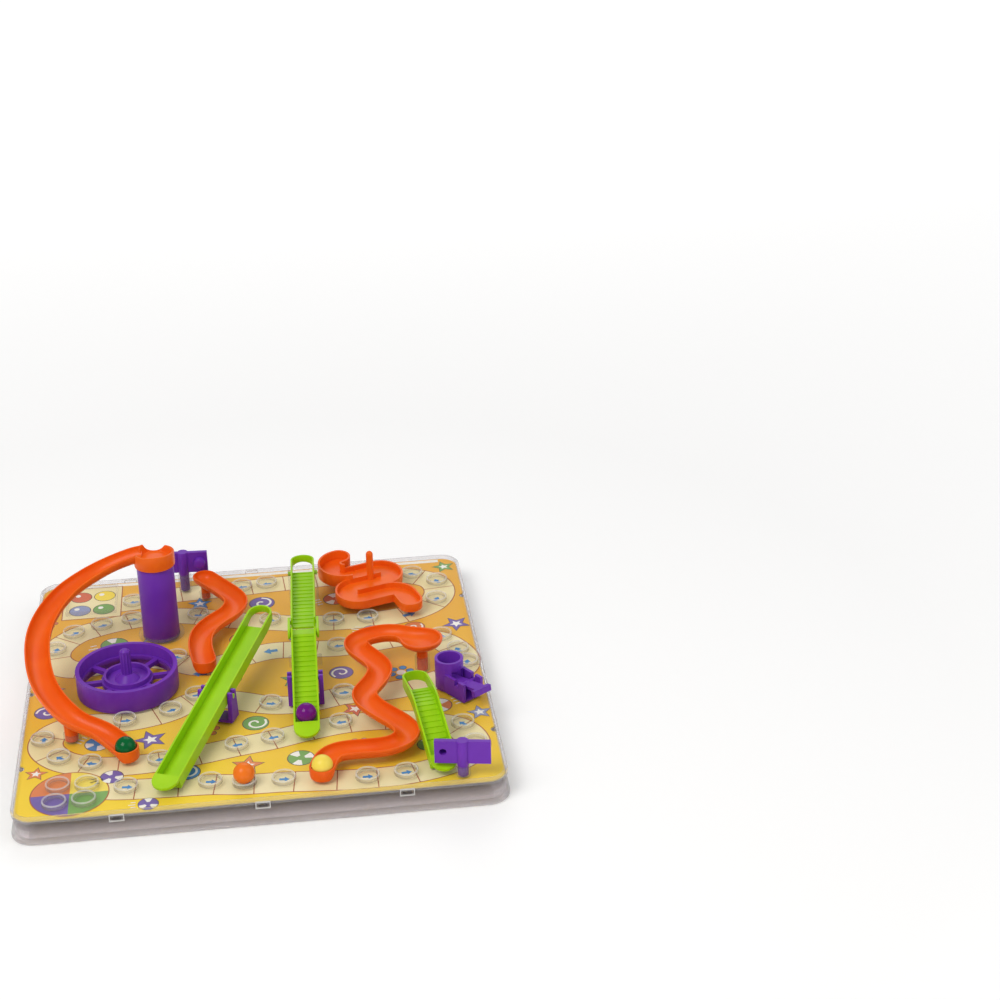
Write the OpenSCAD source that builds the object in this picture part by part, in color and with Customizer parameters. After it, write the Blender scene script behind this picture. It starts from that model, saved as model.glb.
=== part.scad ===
/* [Tray and cover] */
// Outer width of the square cover
tray_w = 290; // [290:1:310]
// Radius of the tray's corners
corner_r = 13; // [8:1:20]
// Height of the base wall
base_h = 15; // [13:0.5:22]
// Thickness of the base wall
base_wall = 1.6; // [1.2:0.1:2.4]
// Thickness of the base floor
base_floor = 1.6; // [1.2:0.1:3]
// How far the foot bead stands out past the cover
foot_out = 1; // [0.4:0.1:2]
// Height of the foot bead
foot_h = 3.5; // [2:0.5:6]
// Thickness of the printed card
card_t = 0.6; // [0.4:0.1:1.2]
// Thickness of the cover's flat plate
plate_t = 1.6; // [1.2:0.1:3]
// Width of the raised edge round the cover
rim_w = 2.2; // [1.6:0.1:2.4]
// Height of the raised edge above the plate
rim_rise = 1.2; // [0.6:0.1:3]
// How far the cover's skirt comes down over the base wall
skirt_lap = 0.8; // [0.4:0.1:3]
// Radius of the half-round notches in the card's sides
notch_r = 3; // [2:0.5:5]

/* [Clips] */
// Width of a clip
clip_w = 11; // [8:1:16]
// Height of a clip below the plate's top
clip_drop = 5.6; // [5.2:0.2:8]
// Thickness of a clip
clip_t = 1.2; // [0.8:0.1:2]
// Width of the window in a clip
clip_window_w = 6.4; // [4:0.2:7]
// Distance between neighbouring clips
clip_pitch = 84; // [60:1:100]

/* [Cups and sockets] */
// Outer diameter of a track cup
cup_d = 14.7; // [14:0.1:16]
// Wall of a track cup
cup_wall = 1.1; // [0.8:0.1:1.6]
// Height of a track cup
cup_h = 3; // [2:0.1:3.4]
// Wall of a post socket
socket_wall = 1.3; // [0.9:0.1:2]
// Clearance round a fixed post in its socket
post_gap = 0.1; // [0.05:0.01:0.2]
// Clearance round a turning post or pin
turn_gap = 0.06; // [0.03:0.01:0.1]
// Wall of the home pen
pen_wall = 1.4; // [1:0.1:2]
// Height of the home pen's wall
pen_h = 2.4; // [1.6:0.1:4]

/* [Marbles] */
// Diameter of a marble
marble_d = 12.7; // [12:0.1:12.8]
// Gap under a resting marble
marble_gap = 0.3; // [0.2:0.05:0.4]

/* [Snakes] */
// Width of a snake's channel
snake_w = 15.8; // [15.6:0.1:16.4]
// Wall of a snake's channel
snake_wall = 1.1; // [0.9:0.05:1.2]
// Depth of the tower snake's channel
tower_snake_depth = 8; // [7.4:0.1:9]
// Depth of the zigzag snake's channel
zigzag_depth = 7.6; // [6.5:0.1:9]
// Depth of the spoon snake's channel
spoon_depth = 7.6; // [7:0.1:9]
// Width of the spoon snake's round dish
dish_w = 27; // [22:0.5:30]
// Diameter of the tower snake's foot post
tower_foot_d = 8; // [5:0.5:9]
// Diameter of the zigzag snake's post
zigzag_post_d = 6; // [5:0.5:8]
// Diameter of the spoon snake's post
spoon_post_d = 7; // [5:0.5:9]

/* [Tower] */
// Diameter of the tower
tower_d = 24; // [22:0.5:25]
// Height of the tower
tower_h = 52.4; // [46:0.2:55]
// Wall of the tower
tower_wall = 1.8; // [1.2:0.1:3]
// Diameter of the seat ring at the tower's foot
seat_d = 30; // [28:0.2:34]
// Height of the seat ring
seat_h = 2.4; // [1.5:0.1:5]
// Width of the bowl on top of the tower
bowl_w = 26.4; // [26:0.2:28]
// Height of the bowl above the tower
bowl_h = 10.6; // [10:0.2:13]
// Slope of the bowl's edge down to the back
bowl_slope = 6; // [0:1:8]
// Wall of the bowl
bowl_wall = 1.4; // [1.2:0.1:2]
// How deep the scoop dips below the bowl's top
scoop_dip = 7; // [4:0.5:7.5]
// Radius of the scoop in the bowl's back
scoop_r = 7.6; // [6:0.2:9]

/* [Maze snake] */
// Distance between neighbouring runs of the maze
maze_pitch = 15; // [14.8:0.1:15.4]
// Wall of the maze
maze_wall = 1.3; // [1:0.1:1.6]
// Height of the maze's walls with its floor
maze_h = 6; // [5.4:0.1:7.5]
// How much higher the wall stands round the maze's start
tail_rise = 3; // [0.5:0.1:4]
// Thickness of the maze's floor
maze_floor = 2.4; // [1.4:0.1:3]
// Height of the maze above the deck at its finger post
maze_lift = 6.8; // [6.6:0.1:8]
// Slope of the maze down to the snake's head
maze_tilt = 4; // [2:0.5:4]
// Diameter of the finger post
finger_d = 4.8; // [4:0.1:6]
// Height of the finger post above the maze's floor
finger_h = 21; // [14:0.5:28]

/* [Spinner wheel] */
// Outer diameter of the wheel
wheel_d = 64; // [58:0.5:64]
// Height of the wheel
wheel_h = 15; // [12:0.5:20]
// Wall of the wheel
wheel_wall = 2.6; // [1.8:0.1:3.4]
// Depth of the wheel's floor below its rim
wheel_depth = 8; // [6:0.5:9]
// Thickness of the wheel's floor
wheel_floor = 3; // [2:0.1:4]
// Number of windows in the floor
window_count = 8; // [6:1:8]
// Width of a spoke
spoke_w = 3.2; // [2:0.1:5]
// Outer diameter of the hub ring
hub_d = 29.6; // [26:0.2:32]
// Diameter of the finger spindle
spindle_d = 5.8; // [5:0.1:7]
// Height of the spindle above the hub's dish
spindle_h = 21; // [14:0.5:28]
// Number of ribs on the spindle
rib_count = 10; // [6:1:14]
// Diameter of the pin that carries the wheel
wheel_pin_d = 6; // [4:0.2:7]
// Height of the pin that carries the wheel
wheel_pin_h = 5; // [3:0.2:5.4]
// Gap under the wheel
wheel_gap = 0.4; // [0.3:0.1:0.9]

/* [Ladders] */
// Outer width of a ladder
ladder_w = 15.8; // [15.4:0.1:16.4]
// Wall of a ladder
ladder_wall = 1.1; // [0.8:0.05:1.1]
// Height of a ladder's walls
ladder_h = 8; // [7:0.1:9]
// Thickness of a ladder's floor
ladder_floor = 1.4; // [1:0.1:1.8]
// Length of the round toe plate
toe_len = 10.5; // [9:0.5:13]
// Thickness of the toe plate
toe_t = 2; // [1.4:0.1:3]
// Length of the open loop
loop_len = 15; // [14:0.5:18]
// How far the underside rises to the loop's tip
loop_lift = 3.6; // [0:0.2:4]
// How far the short ladder's underside rises to its loop's tip
short_loop_lift = 1.8; // [0:0.2:4]
// Distance between the rungs of the lower and the short ladder
rung_pitch = 4.2; // [3.4:0.1:6]
// Distance between the rungs of the upper ladder
upper_pitch = 5.6; // [4:0.1:8]
// Height of a rung
rung_h = 0.5; // [0.3:0.05:0.6]
// Height of the pivot axes above the deck
pivot_h = 16.5; // [15:0.5:18]
// Diameter of the pivot pins
pivot_d = 3; // [2.4:0.1:3.6]
// Length of the see-saw from its pivot to its near end
seesaw_near = 81.5; // [74:0.5:82]
// Length of the see-saw from its pivot to its loop's tip
seesaw_far = 86.4; // [78:0.5:87]
// Length of the lower ladder from its pivot to its near end
lower_near = 40; // [38:0.5:42]
// Length of the lower ladder from its pivot to its far pins
lower_far = 38.2; // [35:0.2:39]
// Plan distance from the lower ladder's pivot to the upper one's
stand_reach = 128; // [124:0.5:130]
// Slope of the upper ladder down to its loop
upper_slope = 3.6; // [2:0.2:5]
// Length of the upper ladder past its pivot
upper_far = 21.6; // [18:0.2:24]
// Plan distance between the bridge's two pins
bridge_reach = 14.1; // [13.6:0.1:15]
// Diameter of the bridge's pins
bridge_pin_d = 2.4; // [2:0.1:2.8]
// Thickness of the bridge's side plates
bridge_plate = 1.6; // [1.2:0.1:2]
// Gap beside a ladder's walls
side_gap = 0.4; // [0.3:0.05:0.6]
// Thickness of a fulcrum post
post_t = 2.8; // [2:0.1:3.4]
// Width of a fulcrum post at its foot
post_foot = 11; // [9:0.5:13]
// Width of a fulcrum post at its top
post_top = 7; // [6:0.5:8]
// How far a fulcrum post stands above the pivot
post_above = 3.2; // [2:0.1:5]
// Thickness of the clear posts under the upper ladder
stand_t = 1.6; // [1.2:0.1:2.8]
// Gap under a ladder's toe at rest
toe_gap = 0.3; // [0.2:0.05:0.6]

/* [Short ladder] */
// Plan length of the short ladder
short_len = 80.5; // [76:0.5:84]
// Slope of its lower half
short_rise = 20; // [16:1:22]
// Slope down of its upper half
short_fall = 8; // [4:1:10]
// Plan length of its straight lower half
short_ramp = 38; // [34:1:40]
// Radius of the bend between the halves
short_bend_r = 40; // [30:1:44]
// Diameter of the leg under its upper half
short_leg_d = 6; // [4:0.5:8]

/* [Strikers] */
// Diameter of a striker's barrel
barrel_d = 7; // [6:0.2:8]
// Height of the barrel and wings
striker_h = 15; // [12:0.2:18]
// Reach of a wing from the barrel's axis
wing_reach = 16.6; // [14:0.2:18]
// Thickness of a wing
wing_t = 3; // [2:0.1:3.6]
// Diameter of the striking boss
boss_d = 7.6; // [6:0.2:9]
// Length of the striking boss
boss_len = 3.4; // [2:0.1:3.6]
// Diameter of the blind hole behind the boss
boss_bore = 4.4; // [3:0.2:5]
// Diameter of a striker's stem
stem_d = 6.4; // [5:0.1:6.8]
// Height of the front striker's socket
front_socket_h = 6.6; // [5:0.2:9]
// Height of the rear striker's socket
rear_socket_h = 12; // [11.8:0.2:14]

/* [Popper] */
// Outer diameter of the popper's tube
tube_d = 18; // [17:0.2:20]
// Wall of the tube
tube_wall = 1.7; // [1.2:0.1:2]
// Height of the tube
tube_h = 20; // [18:0.5:24]
// Outer width across the popper's side plates
popper_w = 16; // [15:0.2:17]
// Thickness of a side plate
popper_plate = 2; // [1.4:0.1:2.4]
// Length of the side plates from the tube's axis
popper_len = 23; // [21:0.5:25]
// Height of the side plates
popper_plate_h = 12.5; // [11.5:0.5:15]
// Distance of the lever's pivot from the tube's axis
lever_pivot_x = 16; // [15:0.5:18]
// Height of the lever's pivot
lever_pivot_h = 8; // [7.4:0.2:9]
// Diameter of the lever's axle
axle_d = 3; // [2.4:0.1:3.4]
// Width of the lever
lever_w = 8; // [6:0.2:9]
// Thickness of the lever
lever_t = 2; // [1.6:0.1:2.4]
// Length of the lever past its pivot
lever_out = 16.4; // [14:0.2:19]
// Length of the lever inside the tube's side
lever_in = 18; // [15:0.5:20]
// Slope of the lever up to its lip at rest
lever_tilt = 9; // [6:0.5:10]
// Width of the lip at the lever's end
lip_w = 13.4; // [10:0.2:15]

/* [Hidden] */
$fn = 64;

orange = "orangered";
lime = "yellowgreen";
purple = "rebeccapurple";
clear = [0.86, 0.88, 0.9, 0.45];
cut = 0.5;
card_edge = 1.6;
skirt_gap = 0.3;
skirt_wall = 1.1;

deck_z = base_h + card_t + plate_t;
base_w = tray_w - 2 * skirt_wall - 2 * skirt_gap;
card_w = base_w - 2 * skirt_gap;
skirt_z = base_h - skirt_lap;
clip_z = deck_z - clip_drop;
window_z = clip_z + 1;
clip_play = 0.2;
marble_r = marble_d / 2;

// All plan places spread with the tray's width
drawn_w = 290;
spread = tray_w / drawn_w;
function spread_out(route) = [for (q = route) [spread * q[0], spread * q[1], q[2]]];

// Cup places, row by row from the start disc to the home pen
start_cups = spread * [[-119, -112], [-102, -113], [-120, -130], [-103, -129]];
row_cups = spread * [
    [[-79, -119], [-30, -121], [-10, -125], [13, -125], [62, -130], [85, -129], [129, -103]],
    [[124, -80], [50, -67], [8, -78], [-14, -83], [-60, -92], [-101, -90], [-120, -81], [-131, -59]],
    [[-82, -44], [-54, -36], [-38, -20], [8, -38], [54, -32], [135, -6]],
    [[131, 11], [122, 31], [54, 28], [-51, 30], [-130, 52]],
    [[-119, 73], [-101, 81], [-81, 86], [-37, 85], [11, 70], [53, 63], [76, 63]],
    [[124, 82], [127, 108], [111, 121], [10, 123], [-7, 121], [-81, 111]]];
marble_cup = row_cups[0][2];

pen_at = spread * [-109, 117];
pen_size = [34, 39];
tower_at = spread * [-61, 63];
wheel_at = spread * [-81, -4];
maze_at = spread * [81, 101.5];
maze_turn = 18;
front_striker_at = spread * [118, -136.2];
front_striker_turn = -11;
rear_striker_at = spread * [-45.6, 124];
rear_striker_turn = 176;
popper_at = spread * [121, -33];
popper_turn = -56;
seesaw_at = spread * [-24.3, -48.4];
seesaw_turn = -22;
ladder_at = spread * [30.4, -38];
ladder_turn = -2;
short_at = spread * [107.2, -126.5];
short_turn = 7.5;

// Routes of the snakes: plan place and height of the underside above the deck
tower_start_h = tower_h + 1.8;
tower_route = spread_out([[-61, 63, tower_start_h], [-75, 65.5, tower_start_h - 1.2], [-99, 62, 45],
    [-121.5, 44, 37.4], [-134, 10, 29.4], [-130, -33, 20], [-113, -61, 11], [-94, -72, 5],
    [-79.5, -88, 0.8]]);
tower_foot_at = spread * [-113, -61];
zigzag_route = spread_out([[-31.5, 109.5, 9.6], [-22, 96.8, 8.6], [-14.6, 87, 7.4], [-10.8, 76.7, 6.2],
    [-15, 66.2, 5], [-22.8, 59, 4.1], [-30.6, 49.8, 3.1], [-34.6, 38.2, 2.1], [-34.7, 24.5, 1.2],
    [-32.8, 12, 0.4]]);
spoon_route = spread_out([[106, -10, 15.5], [91, 5, 14.2], [74, 5, 13.2], [64.5, -4, 12.4], [72.5, -20, 11],
    [77, -34, 10], [71, -50, 8.8], [66, -61, 8], [73, -76, 6.4], [84, -88.5, 4.6], [87.4, -101, 3.4],
    [78, -111.5, 2.8], [58, -110.5, 2], [42.5, -112, 1.2], [36, -126, 0.4]]);
route_steps = 5;

// Rest angles of the ladders, from their arms and the height of their pivots
axis_z = ladder_h / 2;
function rest_slope(arm) = asin((pivot_h - toe_gap) / norm([arm, axis_z])) - atan(axis_z / arm);
seesaw_slope = rest_slope(seesaw_near);
lower_slope = rest_slope(lower_near);
lower_pin_y = lower_far * cos(lower_slope);
bridge_z = pivot_h + lower_far * sin(lower_slope);
upper_near = (stand_reach - lower_pin_y - bridge_reach) / cos(upper_slope);
stand_h = bridge_z - upper_near * sin(upper_slope);
ladder_in = ladder_w - 2 * ladder_wall;
end_past_pin = 1.5;
end_wall = 1.4;
rung_w = 1.2;
pin_root = ladder_w / 2 - ladder_wall;
post_in = ladder_w / 2 + side_gap;
post_out = post_in + post_t;

// Places a child on the deck
module on_deck(at, turn = 0) {
    translate([at[0], at[1], deck_z]) rotate(turn) children();
}

// Square with round corners
module round_square(w, r) {
    square([w - 2 * r, w], center = true);
    square([w, w - 2 * r], center = true);
    for (x = [-1, 1], y = [-1, 1]) translate([x * (w / 2 - r), y * (w / 2 - r)]) circle(r);
}

// Upright tube
module tube(outer_d, bore_d, h) {
    difference() {
        cylinder(d = outer_d, h = h);
        translate([0, 0, -cut]) cylinder(d = bore_d, h = h + 2 * cut);
    }
}

// Does something at each clip's place, facing outwards
module at_clips() {
    for (side = [0, 180], i = [-1, 0, 1])
        rotate(side) translate([i * clip_pitch, -tray_w / 2, 0]) children();
}

module base_tray() {
    catch_h = skirt_z - window_z - 2 * clip_play;
    catch_out = 2.2;
    color(clear) {
        difference() {
            union() {
                linear_extrude(base_h) round_square(base_w, corner_r - skirt_wall);
                linear_extrude(foot_h) round_square(tray_w + 2 * foot_out, corner_r + foot_out);
            }
            translate([0, 0, base_floor])
                linear_extrude(base_h)
                    round_square(base_w - 2 * base_wall, corner_r - skirt_wall - base_wall);
        }
        at_clips()
            translate([-clip_window_w / 2 + cut, skirt_wall + skirt_gap - catch_out, window_z + clip_play])
                cube([clip_window_w - 2 * cut, catch_out + cut, catch_h]);
    }
}

module top_cover() {
    rim_top = deck_z + rim_rise;
    color(clear) {
        difference() {
            translate([0, 0, skirt_z]) linear_extrude(rim_top - skirt_z) round_square(tray_w, corner_r);
            translate([0, 0, deck_z])
                linear_extrude(rim_rise + cut) round_square(tray_w - 2 * rim_w, corner_r - rim_w);
            translate([0, 0, skirt_z - cut])
                linear_extrude(skirt_lap + card_t + cut)
                    round_square(tray_w - 2 * skirt_wall, corner_r - skirt_wall);
        }
        at_clips() difference() {
            translate([-clip_w / 2, -clip_t, clip_z])
                cube([clip_w, clip_t + skirt_wall / 2, deck_z - clip_z]);
            translate([-clip_window_w / 2, -clip_t - cut, window_z])
                cube([clip_window_w, clip_t + skirt_wall + cut, skirt_z - window_z]);
            translate([-clip_w, 0, clip_z - cut]) cube([2 * clip_w, skirt_wall, skirt_z - clip_z + cut]);
        }
    }
}

module game_card() {
    notch_pitch = 87;
    color("gold") translate([0, 0, base_h]) linear_extrude(card_t) difference() {
        round_square(card_w, corner_r - card_edge);
        for (x = [-1, 1], i = [-1, 0, 1]) translate([x * card_w / 2, i * notch_pitch]) circle(notch_r);
    }
}

module track_cups() {
    color(clear) for (row = concat([start_cups], row_cups), at = row)
        on_deck(at) tube(cup_d, cup_d - 2 * cup_wall, cup_h);
}

module home_pen() {
    color(clear) on_deck(pen_at) linear_extrude(pen_h) difference() {
        square(pen_size, center = true);
        square(pen_size - [2 * pen_wall, 2 * pen_wall], center = true);
    }
}

// Clear sleeve that a post stands in
module socket(at, post_d, gap, h) {
    on_deck(at) tube(post_d + 2 * gap + 2 * socket_wall, post_d + 2 * gap, h);
}

module post_sockets() {
    low_h = 4.8;
    spoon_h = 9.4;
    color(clear) {
        socket(tower_foot_at, tower_foot_d, post_gap, low_h);
        socket([zigzag_route[0][0], zigzag_route[0][1]], zigzag_post_d, post_gap, low_h);
        socket([spoon_route[0][0], spoon_route[0][1]], spoon_post_d, post_gap, spoon_h);
        socket(maze_at, finger_d, turn_gap, maze_lift - 1);
        socket(front_striker_at, stem_d, turn_gap, front_socket_h);
        socket(rear_striker_at, stem_d, turn_gap, rear_socket_h);
        on_deck(wheel_at) cylinder(d = wheel_pin_d, h = wheel_pin_h);
    }
}

module tower_seat() {
    color(clear) on_deck(tower_at) tube(seat_d, tower_d + 2 * post_gap, seat_h);
}

// Upright post with an open slot for a pivot pin, its inner face at x = 0
module slot_post(axis_h, foot_w, top_w, t) {
    slot_r = pivot_d / 2 + turn_gap;
    top_h = axis_h + post_above;
    rotate([90, 0, 90]) linear_extrude(t) difference() {
        polygon([[-foot_w / 2, 0], [foot_w / 2, 0], [top_w / 2, top_h], [-top_w / 2, top_h]]);
        translate([0, axis_h]) circle(slot_r);
        translate([-slot_r, axis_h]) square([2 * slot_r, post_above + cut]);
    }
}

module post_pair(axis_h, foot_w, top_w, t) {
    for (side = [0, 1]) mirror([side, 0, 0]) translate([post_in, 0, 0]) slot_post(axis_h, foot_w, top_w, t);
}

module ladder_stands() {
    stop_h = 7.8;
    stop_d = 3.2;
    stop_y = lower_pin_y + bridge_reach / 2;
    color(clear) on_deck(ladder_at, ladder_turn) {
        translate([0, stand_reach, 0]) post_pair(stand_h, post_foot, post_top, stand_t);
        for (x = [-1, 1]) translate([x * (post_in + bridge_plate / 2), stop_y, 0])
            cylinder(d = stop_d, h = stop_h);
    }
}

module tower() {
    color(purple) on_deck(tower_at) tube(tower_d, tower_d - 2 * tower_wall, tower_h);
}

// Half of a channel's section, from the middle of its floor over the rim to the middle of its underside
arc_steps = 5;
function half_section(depth) =
    let (inner = snake_w / 2 - snake_wall)
    let (bowl = min(inner, depth - snake_wall - 1))
    concat(
        [for (i = [0 : arc_steps]) let (a = 90 * i / arc_steps)
            [inner * sin(a), snake_wall + bowl * (1 - cos(a))]],
        [[inner, depth], [snake_w / 2, depth]],
        [for (i = [arc_steps : -1 : 0]) let (a = 90 * i / arc_steps)
            [snake_w / 2 * sin(a), (bowl + snake_wall) * (1 - cos(a))]]);
half_n = 2 * arc_steps + 4;
ring_n = 2 * half_n - 2;
cap_n = 8;

// Section of the cup at a channel's low end, with an upright wall outside
cup_edge = 1.6;
function cup_section(depth) =
    let (half = half_section(depth))
    [for (j = [0 : half_n - 1]) j < half_n - arc_steps - 1 ? half[j] :
        let (a = 90 * (half_n - 1 - j) / arc_steps)
        j == half_n - 1 ? half[j] : [snake_w / 2 - cup_edge + cup_edge * sin(a), cup_edge * (1 - cos(a))]];

// Smooth curve through a route's points
function curve_point(a, b, c, d, t) =
    0.5 * (2 * b + (c - a) * t + (2 * a - 5 * b + 4 * c - d) * t * t + (3 * b - a - 3 * c + d) * t * t * t);
function curve(route) =
    let (last = len(route) - 1)
    concat([for (i = [0 : last - 1], s = [0 : route_steps - 1])
        curve_point(i > 0 ? route[i - 1] : 2 * route[0] - route[1], route[i], route[i + 1],
            i + 2 <= last ? route[i + 2] : 2 * route[last] - route[last - 1], s / route_steps)],
        [route[last]]);

// Level direction of travel at each point of a curve
function flat_unit(v) = [v[0], v[1], 0] / norm([v[0], v[1]]);
function headings(path) =
    let (last = len(path) - 1)
    [for (i = [0 : last]) flat_unit(path[min(i + 1, last)] - path[max(i - 1, 0)])];
function left_of(v) = [-v[1], v[0], 0];

// Place in the ring of a point on one half of the section
function ring_spot(j, right) = right && j > 0 && j < half_n - 1 ? ring_n - j : j;

// Open channel with round closed ends, swept along a route; wides gives its width at each point
module channel(route, depth, wides) {
    path = curve(route);
    last = len(path) - 1;
    ways = headings(path);
    half = half_section(depth);
    loop = concat(half, [for (j = [half_n - 2 : -1 : 1]) [-half[j][0], half[j][1]]]);
    rings = [for (i = [0 : last], q = loop)
        path[i] + left_of(ways[i]) * q[0] * wides[i] / snake_w + [0, 0, q[1]]];
    cup = cup_section(depth);
    caps = [for (end = [0, 1], k = [1 : cap_n - 1], j = [1 : half_n - 2])
        let (i = end * last, a = 180 * k / cap_n)
        let (q = half[j] + (cup[j] - half[j]) * end * min(1, 1.6 * sin(a)))
        path[i] + [0, 0, q[1]] + q[0] * wides[i] / snake_w
            * (left_of(ways[i]) * cos(a) + (2 * end - 1) * ways[i] * sin(a))];
    cap_start = len(rings);
    cap_size = (cap_n - 1) * (half_n - 2);
    function cap_spot(end, k, j) =
        k == 0 || k == cap_n || j == 0 || j == half_n - 1
            ? end * last * ring_n + ring_spot(j, k == cap_n)
            : cap_start + end * cap_size + (k - 1) * (half_n - 2) + j - 1;
    sides = [for (i = [0 : last - 1], j = [0 : ring_n - 1])
        let (a = i * ring_n + j, b = i * ring_n + (j + 1) % ring_n)
        each [[a, b, b + ring_n], [a, b + ring_n, a + ring_n]]];
    ends = [for (end = [0, 1], k = [0 : cap_n - 1], j = [0 : half_n - 2])
        let (a = cap_spot(end, k, j), b = cap_spot(end, k, j + 1))
        let (c = cap_spot(end, k + 1, j + 1), d = cap_spot(end, k + 1, j))
        each [if (b != c) end == 1 ? [a, b, c] : [a, c, b], if (a != d) end == 1 ? [a, c, d] : [a, d, c]]];
    translate([0, 0, deck_z]) polyhedron(concat(rings, caps), concat(sides, ends));
}

// Width at each point of a route's curve, from a round dish at its start to the plain channel
function dish_wides(route, dish, steps) =
    [for (i = [0 : (len(route) - 1) * route_steps])
        i < steps ? snake_w + (dish - snake_w) * (1 + cos(180 * i / steps)) / 2 : snake_w];
function plain_wides(route) = dish_wides(route, snake_w, 1);

module tower_snake() {
    plug_h = 5;
    plug_d = tower_d - 2 * tower_wall - 2 * post_gap;
    floor_h = tower_start_h + snake_wall;
    way = tower_route[1] - tower_route[0];
    exit_r = snake_w / 2 - snake_wall - 0.2;
    exit_slope = atan(-way[2] / norm([way[0], way[1]]));
    exit_len = bowl_w / 2 + 4;
    foot_h = tower_route[6][2] + snake_wall / 2;
    color(orange) {
        difference() {
            union() {
                channel(tower_route, tower_snake_depth, plain_wides(tower_route));
                on_deck(tower_at) translate([0, 0, tower_h]) cylinder(d = bowl_w, h = bowl_h);
            }
            on_deck(tower_at) translate([0, 0, floor_h]) cylinder(d = bowl_w - 2 * bowl_wall, h = bowl_h);
            translate([tower_route[0][0], tower_route[0][1], deck_z + floor_h + exit_r])
                rotate([0, 0, atan2(way[1], way[0])]) rotate([0, exit_slope, 0]) {
                    rotate([0, 90, 0]) cylinder(r = exit_r, h = exit_len);
                    translate([0, -exit_r, 0]) cube([exit_len, 2 * exit_r, bowl_h]);
                }
            on_deck(tower_at) translate([0, 0, tower_h + bowl_h + scoop_r - scoop_dip])
                rotate([-90, 0, 0]) cylinder(r = scoop_r, h = bowl_w);
            on_deck(tower_at) translate([-bowl_w, -bowl_w / 2, tower_h + bowl_h])
                rotate([-bowl_slope, 0, 0]) cube([2 * bowl_w, 2 * bowl_w, bowl_h]);
        }
        on_deck(tower_at) translate([0, 0, tower_h - plug_h]) cylinder(d = plug_d, h = plug_h + snake_wall);
        on_deck(tower_foot_at) cylinder(d = tower_foot_d, h = foot_h);
    }
}

module zigzag_snake() {
    start = zigzag_route[0];
    color(orange) {
        channel(zigzag_route, zigzag_depth, plain_wides(zigzag_route));
        on_deck(start) cylinder(d = zigzag_post_d, h = start[2] + snake_wall / 2);
    }
}

module spoon_snake() {
    start = spoon_route[0];
    color(orange) {
        channel(spoon_route, spoon_depth, dish_wides(spoon_route, dish_w, 4));
        on_deck(start) cylinder(d = spoon_post_d, h = start[2] + snake_wall / 2);
    }
}

// Part of a round bend in the maze, between two directions a quarter or half turn apart
module bend(at, mean_r, w, corner, size) {
    inner_r = mean_r - w / 2;
    translate(at) intersection() {
        difference() {
            circle(mean_r + w / 2);
            if (inner_r > 0.5) circle(inner_r);
        }
        translate(corner) square(size);
    }
}

// Plan of the curl at the maze's start, w wide
curl_r = 9.6;
start_x = -13;
module maze_curl(w) {
    wide = 2 * maze_pitch;
    mid_y = maze_pitch / 2 + curl_r;
    translate([start_x, mid_y + curl_r]) circle(w / 2);
    bend([start_x, mid_y], curl_r, w, [-wide, -wide], [wide, 2 * wide]);
}

// Plan of the maze's winding channel, w wide, with its first divider along the x axis
module maze_plan(w) {
    half = maze_pitch / 2;
    wide = 2 * maze_pitch;
    right_x = 7;
    left_x = -15;
    head_x = 4;
    head_r = 8.5;
    head_len = 9;
    maze_curl(w);
    translate([start_x, half - w / 2]) square([right_x - start_x, w]);
    bend([right_x, 0], half, w, [0, -wide], [wide, 2 * wide]);
    translate([left_x, -half - w / 2]) square([right_x - left_x, w]);
    bend([left_x, -2 * half], half, w, [-wide, -wide], [wide, 2 * wide]);
    translate([left_x, -3 * half - w / 2]) square([head_x - left_x, w]);
    bend([head_x, -3 * half - head_r], head_r, w, [0, 0], [wide, wide]);
    translate([head_x + head_r, -3 * half - head_r - head_len]) {
        translate([-w / 2, 0]) square([w, head_len]);
        circle(w / 2);
    }
}

module maze_snake() {
    foot_gap = 0.2;
    post_len = maze_lift + maze_floor + finger_h - finger_d / 2;
    color(orange) on_deck(maze_at, maze_turn) {
        translate([0, 0, maze_lift]) rotate([maze_tilt, 0, 0]) difference() {
            union() {
                linear_extrude(maze_h) maze_plan(maze_pitch + maze_wall);
                linear_extrude(maze_h + tail_rise) maze_curl(maze_pitch + maze_wall);
            }
            translate([0, 0, maze_floor]) linear_extrude(2 * maze_h) maze_plan(maze_pitch - maze_wall);
        }
        translate([0, 0, foot_gap]) cylinder(d = finger_d, h = post_len - foot_gap);
        translate([0, 0, post_len]) sphere(d = finger_d);
    }
}

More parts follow.
